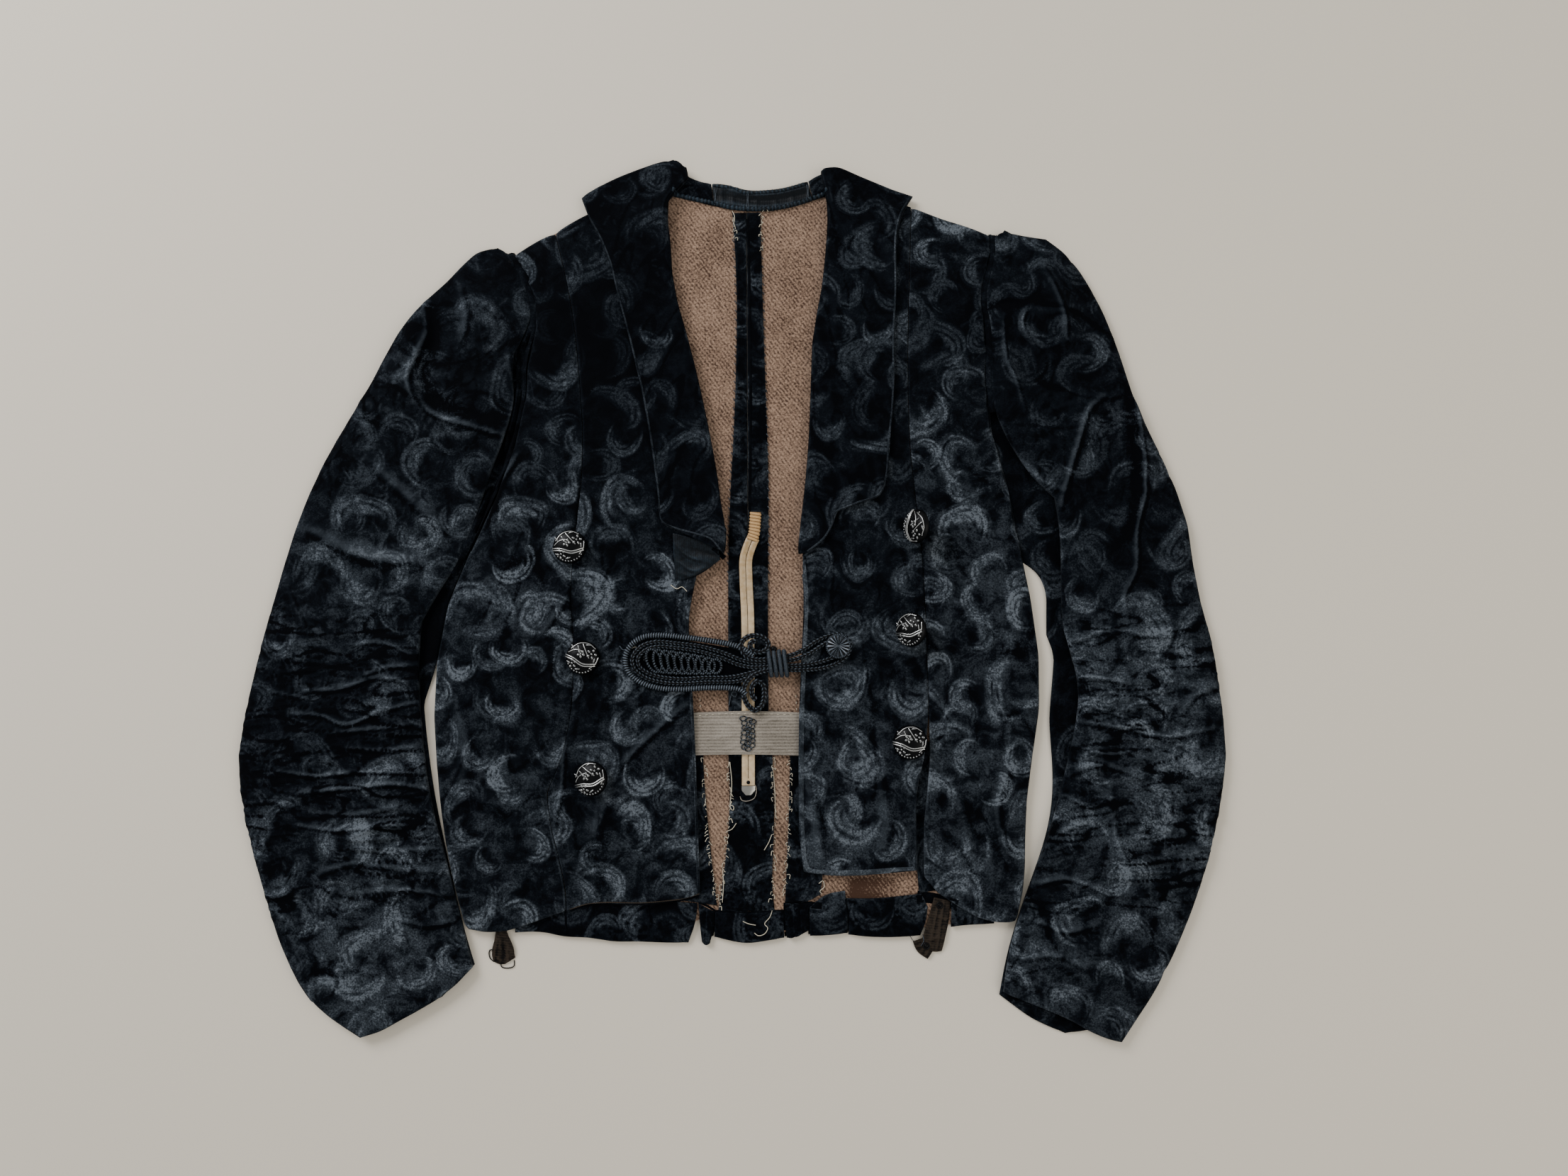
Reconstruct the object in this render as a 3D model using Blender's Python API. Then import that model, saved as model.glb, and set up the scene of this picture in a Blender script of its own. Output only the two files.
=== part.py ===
# Victorian bodice jacket in figured velvet, laid flat on the floor with its fronts open.
# Plan coordinates are millimetres: x to the viewer's right, y towards the neck, z up from the floor.
# left and right are the viewer's. make_mesh and make_cord turn the lengths into metres.

import math
from typing import NamedTuple

import bpy
import numpy as np

MM = 0.001
PLAN_MIDDLE = (-0.5, 9.6)  # middle of the laid garment, which becomes the origin

# Heights of the layers, from the floor up
BACK_TOP = 2.0  # the back and the under sleeves lie on the floor
FACING_TOP = 3.5  # velvet turnings on the back
FRONT_TOP = 7.6
SLEEVE_TOP = 8.4
WALL = 2.2  # velvet with its twill lining
THIN = 1.2  # a single turning
CLEAR = 0.35  # between two layers
REVERS_CLEAR = 0.8  # the revers is cut on other sections than the front under it

LIP = 9.0  # how far a fold runs back under the garment
SEAM_GAP = 0.5
UNDER_ROWS = 38  # of the under sleeves, enough for the bend in the right one's edge
ARMHOLE_INSET = 4.0  # of the back, whose place round the armhole the under sleeve takes
CENTRE_BACK = 15.0
NECK_MIDDLE = 339.5

BUTTON_RADIUS = 14.2
BUTTON_HEIGHT = 8.5
CORD = 3.2  # plaited cord of the frog
WOUND_CORD = 4.2  # its outermost cord, wound with thread
DISC_RADIUS = 10.0

# Edges, each from the shoulder to the hem, as points that a smooth curve runs through
BODY_LEFT = [(-180, 286), (-168, 266), (-161, 246), (-160, 228), (-164, 206), (-168.5, 183), (-169, 161),
             (-177, 124), (-188, 89), (-205, 52), (-219, 21), (-227, 0), (-233, -33), (-238, -67),
             (-236, -111), (-231, -162), (-222, -212), (-209, -259)]
BODY_RIGHT = [(217, 298), (216.5, 281), (211, 262), (208, 246), (211, 226), (212, 206), (211, 180),
              (212.5, 147), (217, 122), (223, 104), (230, 66), (235.5, 34), (241, 3), (245.5, -25),
              (247.5, -77), (243.5, -110), (236, -150), (232.5, -195), (231, -225), (224, -256)]
SEAM_LEFT = [(-145, 306), (-138, 280), (-128, 230), (-122, 170), (-119, 118), (-124, 62), (-129, 20),
             (-126, -25), (-125, -75), (-131, -112), (-135, -138), (-147.5, -160), (-142, -180),
             (-136.5, -200), (-130, -228), (-129, -246)]
SEAM_RIGHT = [(152, 324), (150, 280), (147.5, 220), (146.5, 160), (148, 110), (153, 60), (156.5, 20),
              (158, -40), (158.5, -90)]
SLIT_RIGHT_SIDE = [(159, -125), (157.5, -145), (154, -170), (152.5, -195), (152.5, -221)]
SLIT_RIGHT_FRONT = [(158, -116), (151, -138), (148, -156), (147.5, -216)]
FRONT_LEFT = [(-57.5, 335), (-58, 313), (-55.5, 284), (-53, 262), (-43.5, 231), (-34, 201), (-27, 171),
              (-21, 142), (-15.5, 110), (-12, 82), (-12, 60), (-20, 36), (-31, 18), (-34, 0),
              (-32.5, -30), (-29.5, -75), (-27, -127), (-25.5, -171), (-23.5, -234)]
FRONT_RIGHT = [(88, 334), (90, 299), (83.5, 254), (74.5, 214), (71, 175), (68, 123), (64.5, 82),
               (60.5, 48), (58.5, 26), (60, 0), (58, -40), (55.5, -90), (54.6, -140), (55, -187),
               (58, -217)]
ROLL_LEFT = [(-42, 365.5), (-35, 360), (-31.5, 353), (-38, 344), (-48, 335), (-50, 313), (-46.5, 284),
             (-46, 262), (-38, 231), (-30, 201), (-23, 171), (-17, 142), (-11, 110), (-6.5, 80), (-2, 56),
             (-3, 36)]
ROLL_RIGHT = [(76, 355), (80, 337), (82, 318), (81, 296), (76.5, 254), (69, 214), (67, 174), (64.5, 123),
              (60.5, 82), (57.5, 58), (55, 35)]
REVERS_LEFT = [(-123, 336), (-116, 318), (-106, 299), (-97.5, 277), (-92, 254), (-80.5, 210), (-70, 165),
               (-62, 118), (-58, 88), (-54.5, 61)]
REVERS_RIGHT = [(153, 333), (144, 319), (139, 300), (138, 252), (135.6, 212), (135, 170), (131, 130),
                (123.5, 83), (103, 74.5), (84, 67), (83.5, 57), (77, 46), (63, 35.5)]
SLEEVE_LEFT_OUT = [(-194, 294.5), (-212, 289.5), (-229, 270), (-262, 238), (-284, 200), (-300, 170),
                   (-322, 133), (-339, 99), (-350, 70), (-362, 30), (-377, -31), (-389, -87),
                   (-393.5, -130), (-389, -162), (-374, -216), (-351, -279), (-329, -315), (-303, -333)]
SLEEVE_LEFT_IN = [(-183, 289), (-171, 268), (-164.5, 246), (-163.5, 228), (-175, 208), (-180, 190),
                  (-174.5, 172), (-183, 135), (-196, 101), (-208, 60), (-222, 26), (-236, 6), (-249, -20),
                  (-249.5, -60), (-245, -114), (-237, -162), (-223, -211), (-209, -262), (-202, -289)]
SLEEVE_RIGHT_OUT = [(229, 302), (246, 298), (264, 294), (283, 276), (300, 248), (317, 205), (332, 152),
                    (350, 112), (368, 62), (374, 8), (384, -35), (392, -110), (392, -132), (381, -187),
                    (365, -237), (335, -300), (303, -347)]
SLEEVE_RIGHT_IN = [(220, 299), (219.5, 281), (214, 262), (211, 246), (214, 226), (215, 206), (214, 180),
                   (216, 150), (228, 124), (243, 97), (262, 80), (267, 50), (266, 10), (266, -28),
                   (275, -55), (279, -78), (272, -112), (262, -150), (250, -190), (232.5, -233),
                   (217.5, -275), (212, -309)]
UNDER_LEFT_IN = [(-182.5, 284), (-169.5, 266), (-160, 246), (-159, 228), (-163, 206), (-167.5, 183),
                 (-168, 161), (-176, 124), (-187, 89), (-204, 52), (-219.8, 22), (-227.9, 0), (-233.9, -33),
                 (-237.2, -54), (-242.5, -69), (-246.8, -80), (-246, -95), (-243.5, -114), (-235.5, -162),
                 (-223.5, -211), (-212, -258), (-202, -288)]
UNDER_RIGHT_IN = [(220, 294), (218, 280), (209.8, 262), (206.8, 246), (209.8, 226), (210.8, 206), (209.8, 180),
                  (211.3, 147), (216, 122), (222, 104), (229, 66), (236, 34), (239.4, 22), (249.5, 18.2),
                  (254.6, 11), (255.4, -3), (254.3, -18), (254, -30), (259.6, -44), (259.5, -60), (254, -100),
                  (257, -140), (253, -180), (233.5, -233), (218, -275), (210, -312)]

# Edges that run across, without their end points
SHOULDER_LEFT_SIDE = [(-171, 292), (-160, 299)]
SHOULDER_LEFT_FRONT = [(-129, 316), (-118, 322), (-86, 331)]
REVERS_LEFT_TOP = [(-102, 348), (-81, 357), (-60, 363.5)]
REVERS_RIGHT_TOP = [(88, 358.5), (115, 348), (140, 337.5)]
SHOULDER_RIGHT_FRONT = [(115, 332), (145, 327.5)]
SHOULDER_RIGHT_SIDE = [(181, 312), (200, 306)]
HEM_LEFT_SIDE = [(-190, -262.5), (-173, -261), (-156, -255)]
HEM_LEFT_FRONT = [(-109, -240), (-68, -241.6), (-45, -239)]
HEM_RIGHT_FRONT = [(71, -219), (94, -220), (125, -218)]
HEM_RIGHT_SIDE = [(160, -231), (175, -241), (190, -251), (207, -256)]
BACK_NECK_LEFT = [(-160, 299), (-118, 320), (-86, 330), (-52, 337), (-38, 344), (-11, 343)]
BACK_NECK_RIGHT = [(26, 338.5), (42, 339.5), (57, 342), (70, 346), (88, 337), (145, 326), (181, 311)]
BACK_HEM_LEFT = [(-183, -260.5), (-141, -262.5), (-75, -268.5), (-38, -269.5), (-27, -254), (-13, -254),
                 (-8, -266)]
BACK_HEM_RIGHT = [(38, -266.5), (50, -262), (97, -264), (145, -262), (172, -258)]
CUFF_LEFT = [(-288, -342), (-254, -327), (-220, -307)]
CUFF_RIGHT = [(240, -320), (262, -329), (283, -341)]
UNDER_CUFF_RIGHT = [(225, -324), (245, -336), (270, -343)]

COLOURS = {  # colour, roughness, metallic
    "velvet": ((0.010, 0.014, 0.022), 0.85, 0.0),
    "velvet_underside": ((0.006, 0.008, 0.014), 0.9, 0.0),
    "twill": ((0.235, 0.150, 0.095), 0.8, 0.0),
    "satin": ((0.012, 0.014, 0.018), 0.35, 0.0),
    "tape": ((0.200, 0.180, 0.145), 0.75, 0.0),
    "bone": ((0.640, 0.500, 0.270), 0.4, 0.0),
    "ribbon": ((0.030, 0.020, 0.014), 0.6, 0.0),
    "cord": ((0.012, 0.014, 0.018), 0.55, 0.0),
    "button_metal": ((0.320, 0.320, 0.300), 0.35, 1.0),
    "nickel": ((0.550, 0.550, 0.530), 0.3, 1.0),
}

# Velvet inside the back's skirt: name, left and right edge, points of the hem
SKIRT_VELVET = [
    ("skirt_velvet_centre", [(-1, -94), (-1, -131), (0, -164), (-6, -226), (-9.5, -247)],
     [(33, -94), (34, -131), (35, -175), (33, -240), (35, -247)], [(2, -247), (22, -247)]),
    ("skirt_velvet_left", [(-70, -94), (-70, -150), (-62, -237)],
     [(-21.5, -94), (-21.5, -131), (-17, -185), (-10.5, -243)], [(-40, -238), (-26, -240.5)]),
    ("skirt_velvet_right", [(48, -94), (48, -131), (46, -185), (43.2, -240.5)],
     [(72, -94), (72, -150), (73, -222), (71, -235)], [(50, -241), (60, -241)]),
    ("slit_facing", [(145, -116), (144.5, -160), (148.5, -233.8)],
     [(161, -116), (163, -200), (162, -232)], []),
]
# Turned-up hem of the back, in widths: name, left and right edge, points of the top and of the hem
HEM_FACINGS = [
    ("hem_facing_left", [(-169.5, -240), (-170, -263.3)], [(-25.8, -241.2), (-27, -255), (-33, -271.4)],
     [(-60, -238.2)],
     [(-150, -261.8), (-130, -266.6), (-115, -266.6), (-85, -271), (-62, -269.6), (-45, -272.4)]),
    ("hem_facing_centre", [(-12.2, -247.5), (-12.6, -267)], [(41.8, -247.5), (42.4, -267.8)], [],
     [(-3, -269), (12, -272), (28, -270)]),
    ("hem_facing_right", [(62.2, -244.8), (62.6, -266.6)], [(90.5, -231.8), (92.2, -246), (92, -264.4)],
     [(72, -236.2), (80, -233)], [(76, -266)]),
    ("hem_facing_far_right", [(91.8, -237.6), (93, -250), (92.6, -265.6)],
     [(150.5, -234.3), (155.6, -246), (154.4, -252), (151.4, -262), (149, -266.4)],
     [(110, -238.8), (135, -236)], [(112, -267.4), (132, -267.4)]),
    ("hem_facing_side", [(174, -240.5), (173, -259.9)], [(207, -246), (207, -257.6)], [(190, -243)],
     [(185, -258.4)]),
]
# Pleats: name, left and right edge, points of the hem, folds and their rise
PLEATS = [
    ("skirt_pleat_left", [(-25.2, -241.2), (-24, -256), (-22.4, -271)],
     [(-12.8, -247.5), (-13.2, -260), (-16, -272)], [(-19.3, -274.3)], 2, 1.3),
    ("skirt_pleat_right", [(43.4, -241), (43.2, -255), (44.4, -268)],
     [(61.2, -241.6), (61.6, -256), (61.4, -262.6)], [(50, -268), (55, -266)], 3, 1.3),
]
# Neck: name, left and right edge, points of the top and of the bottom, cloth
NECK = [
    ("neck_band", [(-14, 347.6), (-12, 328.5)], [(66, 348.6), (70, 331.8)],
     [(-5, 346.3), (3, 346.5), (12, 341), (30, 341), (48, 343)],
     [(0, 325), (28, 323), (45, 324.5), (60, 328)], "satin"),
    ("collar_stand_left", [(-46, 360), (-50, 338)], [(-14.6, 347.6), (-12.6, 328.6)],
     [(-38, 358), (-31, 351.5), (-25, 349.2)], [(-38, 335.6), (-26, 332)], "velvet"),
    ("collar_stand_right", [(66.6, 348.8), (70.6, 332)], [(92, 357), (92, 338)], [(74, 352.6), (82, 356)],
     [(76, 334.4)], "velvet"),
]
NECK_ARCH = 1.1


class Fold(NamedTuple):
    """A ridge or, with a height below zero, a trough along a curve."""

    points: list
    height: float
    width: float
    fades: bool = True  # towards its two ends


class Bar(NamedTuple):
    """A cord's route over the fronts."""

    name: str
    points: list
    width: float


# Shoulders and hems sink towards the back
FRONT_FOLDS = [
    Fold([(-180, 286), (-118, 322), (-52, 338)], -3.0, 13, False),
    Fold([(217, 300), (145, 328), (84, 337)], -3.0, 13, False),
    Fold([(-209, -262), (-173, -262), (-129, -248), (-68, -242), (-23, -235)], -1.2, 14, False),
    Fold([(58, -219), (147, -217), (190, -252), (224, -258)], -1.2, 14, False),
    Fold([(-208, 60), (-192, 88), (-175, 118)], 2.2, 7),
    Fold([(-36, -86), (-62, -108), (-92, -137)], 1.6, 9),
    Fold([(-151, -26), (-140, -12), (-132, 2)], 1.4, 7),
    Fold([(-138, -190), (-133, -150), (-131, -112), (-122, -92)], 1.8, 8),
    Fold([(157, -76), (174, -96), (192, -122)], 2.2, 8),
    Fold([(218, -205), (210, -165), (224, -130)], 1.5, 9),
    Fold([(-105, -205), (-108, -178), (-109, -160)], 1.6, 8),
    Fold([(160, 110), (155, 60), (158, 10)], 1.2, 9),
]
LEFT_SLEEVE_FOLDS = [
    Fold([(-204, 292), (-186, 290)], -2.6, 12, False),
    Fold([(-260, 232), (-272, 200), (-262, 172), (-236, 158), (-200, 150)], 8.0, 17),
    Fold([(-240, 246), (-243, 215), (-251, 190), (-243, 165), (-215, 151)], -3.0, 8),
    Fold([(-186, 270), (-200, 240), (-205, 200)], 5.0, 12),
    Fold([(-302, 150), (-285, 110), (-250, 80), (-222, 62)], 4.5, 14),
    Fold([(-345, 60), (-300, 35), (-250, 30)], 5.0, 11),
    Fold([(-364, 5), (-315, -12), (-262, -8)], 4.5, 9),
    Fold([(-374, -40), (-320, -52), (-258, -42)], 4.0, 9),
    Fold([(-382, -80), (-330, -84), (-256, -78)], 5.0, 9),
    Fold([(-386, -120), (-330, -116), (-254, -112)], 4.5, 9),
    Fold([(-386, -152), (-335, -158), (-250, -146)], 4.5, 9),
    Fold([(-378, -190), (-330, -192), (-240, -180)], 4.0, 9),
    Fold([(-364, -235), (-300, -226), (-232, -214)], 3.5, 10),
    Fold([(-338, -285), (-290, -262), (-222, -250)], 3.0, 11),
]
RIGHT_SLEEVE_FOLDS = [
    Fold([(218, 300), (240, 300)], -2.6, 12, False),
    Fold([(258, 274), (270, 246), (277, 212), (272, 180)], 7.0, 13),
    Fold([(222, 262), (232, 248), (250, 222), (254, 200)], 6.0, 11),
    Fold([(210, 237), (242, 237)], -3.0, 6),
    Fold([(226, 226), (226, 196), (236, 170), (245, 146)], 5.0, 9),
    Fold([(306, 165), (290, 140), (281, 112), (270, 82)], 6.0, 12),
    Fold([(330, 178), (336, 120), (330, 60), (318, 0)], 5.0, 11),
    Fold([(352, 80), (360, 30), (352, -15)], 3.0, 12),
    Fold([(372, -30), (330, -28), (278, -40)], 4.0, 9),
    Fold([(382, -64), (336, -72), (290, -66)], 4.5, 9),
    Fold([(386, -104), (340, -104), (286, -100)], 5.0, 9),
    Fold([(384, -146), (335, -140), (276, -134)], 5.0, 9),
    Fold([(378, -178), (325, -176), (268, -164)], 4.5, 9),
    Fold([(368, -214), (310, -212), (252, -196)], 4.0, 9),
    Fold([(350, -254), (300, -244), (240, -228)], 3.5, 10),
    Fold([(328, -292), (285, -280), (226, -264)], 3.0, 11),
]
# Beyond the shoulder the revers falls to the floor; at the neck it stands up
REVERS_FOLDS = [
    Fold([(-122, 318), (-86, 331), (-56, 338)], 0.9, 16, False),
    Fold([(150, 327), (118, 331), (86, 337)], 1.1, 17, False),
    Fold([(-126, 338), (-96, 352), (-66, 362)], -3.6, 11, False),
    Fold([(156, 335), (128, 344), (100, 356)], -3.6, 11, False),
    Fold([(-46, 366), (-45, 340), (-50, 318), (-50, 300)], 4.5, 14),
    Fold([(80, 358), (80, 335), (81, 315), (82, 296)], 4.5, 14),
    Fold([(-56, 60), (-30, 46), (-3, 38)], 1.7, 30, False),
    Fold([(-112, 300), (-98, 270), (-88, 236)], 1.2, 12),
    Fold([(120, 120), (112, 96), (96, 84)], 1.0, 12),
]

# Buttons: node, x, y and tilt towards the left in degrees
BUTTONS = [
    ("button_left_upper", -128.5, 42, 0),
    ("button_left_middle", -117, -47.5, 0),
    ("button_left_lower", -109, -143, 12),
    ("button_right_upper", 150, 54.5, 55),
    ("button_right_middle", 144.5, -27.5, 38),
    ("button_right_lower", 143, -116, 8),
]

# The frog's cords lie on the fronts and cross the gap between them
FROG = [
    Bar("frog_outer_loop", [(5, -38.6), (-15, -34.6), (-35, -31.8), (-55, -29.8), (-68, -31), (-78, -37),
                            (-83, -47), (-81, -58), (-72, -66.5), (-58, -71.5), (-40, -73), (-18, -72),
                            (2, -72.4)], WOUND_CORD),
    Bar("frog_middle_loop", [(38, -50.9), (22, -52.4), (10, -50.2), (-4, -44.5), (-22, -39.2), (-42, -36.4),
                             (-60, -35.2), (-71, -39), (-77.5, -48), (-75.5, -57), (-67, -63.6), (-54, -67.4),
                             (-38, -68.6), (-18, -67.6), (0, -67.6)], CORD),
    Bar("frog_inner_loop", [(38, -54.4), (20, -56), (8, -54), (-6, -48.4), (-24, -43), (-42, -40.1),
                            (-58, -39), (-67.5, -42), (-73, -48.5), (-71.5, -55), (-64, -60.4), (-53, -63.6),
                            (-38, -64.9), (-18, -63.9), (-2, -63.9)], CORD),
    Bar("frog_right_outer_loop", [(38.5, -47.6), (50, -46.4), (60, -41.8), (70, -35.4), (80, -31.2),
                                  (88, -30.2), (94.5, -34), (96.4, -40), (94, -47), (86, -53.2),
                                  (74, -57), (58, -58.4), (38.5, -58.2)], CORD),
    Bar("frog_right_inner_loop", [(38.5, -51.1), (52, -50), (64, -45.2), (75, -38.4), (83, -34.6),
                                  (89.5, -36), (91.5, -40.5), (88.5, -45.4), (79, -50), (66, -53.4),
                                  (52, -54.8), (38.5, -54.7)], CORD),
    Bar("frog_lower_curl", [(38, -58), (28, -58.9), (19, -62.4), (13, -68.5), (11.5, -77), (14.5, -85.5),
                            (20.5, -90), (26, -86), (27.9, -77.5), (26.6, -69.5), (22, -67.2), (18.2, -71.4),
                            (18.3, -78), (21.3, -82)], CORD),
]
CURL_MIDDLE = (20.5, -38.8)  # the upper curl winds inwards round it
CURL_RADII = (9.0, 3.9)
CURL_TURNS = 1.75
WRAPS = 4
WRAP_X = 32.5
WRAP_STEP = 4.1


def smooth_curve(points, fractions):
    # A curve with no overshoot through the points, read at fractions of its length.
    points = np.array(points, float)
    if len(points) == 2:
        return points[0] + np.outer(fractions, points[1] - points[0])
    knots = np.append(0, np.cumsum(np.sqrt(np.linalg.norm(np.diff(points, axis=0), axis=1))))
    slopes = np.gradient(points, knots, axis=0)
    at = np.linspace(0, knots[-1], 24 * len(points))
    k = np.clip(np.searchsorted(knots, at, side="right") - 1, 0, len(points) - 2)
    span = (knots[k + 1] - knots[k])[:, None]
    s = ((at - knots[k])[:, None]) / span
    dense = ((2 * s**3 - 3 * s**2 + 1) * points[k] + (s**3 - 2 * s**2 + s) * span * slopes[k]
             + (3 * s**2 - 2 * s**3) * points[k + 1] + (s**3 - s**2) * span * slopes[k + 1])
    run = np.append(0, np.cumsum(np.linalg.norm(np.diff(dense, axis=0), axis=1)))
    return np.stack([np.interp(fractions, run / run[-1], column) for column in dense.T], axis=1)


def spaced(count, crowding=0.0):
    # Fractions from 0 to 1, closer together at the two ends as crowding nears 1.
    t = np.linspace(0, 1, count)
    return t - crowding * np.sin(2 * math.pi * t) / (2 * math.pi)


def inset(points, distance):
    # The edge moved sideways, towards the right for an edge that runs down the garment.
    points = smooth_curve(points, spaced(60))
    along = np.gradient(points, axis=0)
    along /= np.linalg.norm(along, axis=1)[:, None]
    sideways = np.stack([-along[:, 1], along[:, 0]], axis=1)
    return points + sideways * np.broadcast_to(distance, len(points))[:, None]


def between(left, right, rows, columns, top=(), bottom=(), crowding=0.0):
    # Plan grid of a panel, from its four edges.
    v = spaced(rows, crowding)
    left = smooth_curve(left, v)
    right = smooth_curve(right, v)
    u = spaced(columns)
    top = smooth_curve([left[0], *top, right[0]], u)
    bottom = smooth_curve([left[-1], *bottom, right[-1]], u)
    v = v[:, None, None]
    u = u[None, :, None]
    across = (1 - u) * left[:, None] + u * right[:, None]
    down = (1 - v) * top[None] + v * bottom[None]
    corners = (1 - v) * ((1 - u) * left[0] + u * right[0]) + v * ((1 - u) * left[-1] + u * right[-1])
    return across + down - corners


def fold_height(plan, folds):
    # Height that the folds add at each point of the plan.
    total = np.zeros(plan.shape[:-1])
    for fold in folds:
        steps = spaced(48)
        line = smooth_curve(fold.points, steps)
        strength = np.sqrt(np.sin(math.pi * np.clip(steps, 0.02, 0.98))) if fold.fades else np.ones(48)
        distance = np.linalg.norm(plan[..., None, :] - line, axis=-1)
        total += fold.height * np.max(strength * np.exp(-((distance / fold.width) ** 2)), axis=-1)
    return total


def front_height(plan):
    return FRONT_TOP + fold_height(plan, FRONT_FOLDS)


def raised(plan, height):
    # Plan points with their height as a third coordinate.
    height = np.broadcast_to(height, plan.shape[:-1])
    return np.concatenate([plan, height[..., None]], axis=-1)


def roll_under(surface, at_left, level, turn, lip, steps=4):
    # The border column bent down and back under the cloth, to level, through the angle turn.
    if not at_left:
        return roll_under(surface[:, ::-1], True, level, turn, lip, steps)[:, ::-1]
    border = surface[:, 0]
    outward = (border - surface[:, 1])[:, :2]
    outward /= np.linalg.norm(outward, axis=1)[:, None]
    radius = (border[:, 2] - level) / 2
    middle = raised(border[:, :2] - outward * radius[:, None], border[:, 2] - radius)
    turn = np.broadcast_to(turn, len(border))
    lip = np.broadcast_to(lip, len(border))
    columns = []
    for step in range(steps + 1):
        angle = turn * step / steps
        columns.append(middle + raised(outward * (radius * np.sin(angle))[:, None], radius * np.cos(angle)))
    columns.append(columns[-1] + raised(outward * (lip * np.cos(turn))[:, None], -lip * np.sin(turn)))
    columns[-1][:, 2] = np.maximum(columns[-1][:, 2], level)
    return np.concatenate([np.stack(columns[::-1], axis=1), surface[:, 1:]], axis=1)


def normals(surface):
    down = np.gradient(surface, axis=0)
    across = np.gradient(surface, axis=1)
    normal = np.cross(down, across)
    return normal / np.linalg.norm(normal, axis=-1)[..., None]


def shade(colour):
    # One material for each kind of cloth or metal.
    if colour in bpy.data.materials:
        return bpy.data.materials[colour]
    base, roughness, metallic = COLOURS[colour]
    material = bpy.data.materials.new(colour)
    material.use_nodes = True
    principled = material.node_tree.nodes["Principled BSDF"]
    principled.inputs["Base Color"].default_value = (*base, 1)
    principled.inputs["Roughness"].default_value = roughness
    principled.inputs["Metallic"].default_value = metallic
    return material


def to_world(points):
    points = np.array(points, float)
    return (points - (*PLAN_MIDDLE, 0)) * MM


def make_mesh(name, points, faces, colour):
    mesh = bpy.data.meshes.new(name)
    mesh.from_pydata(to_world(points).tolist(), [], faces)
    mesh.materials.append(shade(colour))
    mesh.validate()
    mesh.shade_smooth()
    mesh.set_sharp_from_angle(angle=math.radians(50))
    piece = bpy.data.objects.new(name, mesh)
    bpy.context.scene.collection.objects.link(piece)
    return piece


def closed_cloth(name, over, under, colour):
    # Two grids of the same size joined round their border into one closed wall.
    rows, columns = over.shape[:2]
    points = np.concatenate([over.reshape(-1, 3), under.reshape(-1, 3)])
    half = rows * columns
    faces = []
    for r in range(rows - 1):
        for c in range(columns - 1):
            corner = r * columns + c
            quad = (corner, corner + columns, corner + columns + 1, corner + 1)
            faces.append(quad)
            faces.append(tuple(half + i for i in reversed(quad)))
    border = [c for c in range(columns)]
    border += [r * columns + columns - 1 for r in range(1, rows)]
    border += [(rows - 1) * columns + c for c in range(columns - 2, -1, -1)]
    border += [r * columns for r in range(rows - 2, 0, -1)]
    for a, b in zip(border, border[1:] + border[:1]):
        faces.append((a, b, half + b, half + a))
    return make_mesh(name, points, faces, colour)


def wall(name, over, thickness, colour):
    # Cloth of even thickness under its outer face.
    return closed_cloth(name, over, over - normals(over) * thickness, colour)


def flat(name, plan, top, bottom, colour):
    # Cloth between two heights, each a number or a grid.
    return closed_cloth(name, raised(plan, top), raised(plan, bottom), colour)


def below(y, start, end):
    # 0 above the height start of the plan, 1 below end, smooth between.
    t = np.clip((start - y) / (start - end), 0, 1)
    return t * t * (3 - 2 * t)


def side_fold(edge, armpit):
    # Turn and lip of the fold down the side, which is only a turned edge round the armhole.
    y = edge[:, 1]
    share = below(y, armpit + 12, armpit - 14)
    return math.radians(95) + share * math.radians(85), 0.8 + share**4 * (LIP - 0.8)


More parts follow.
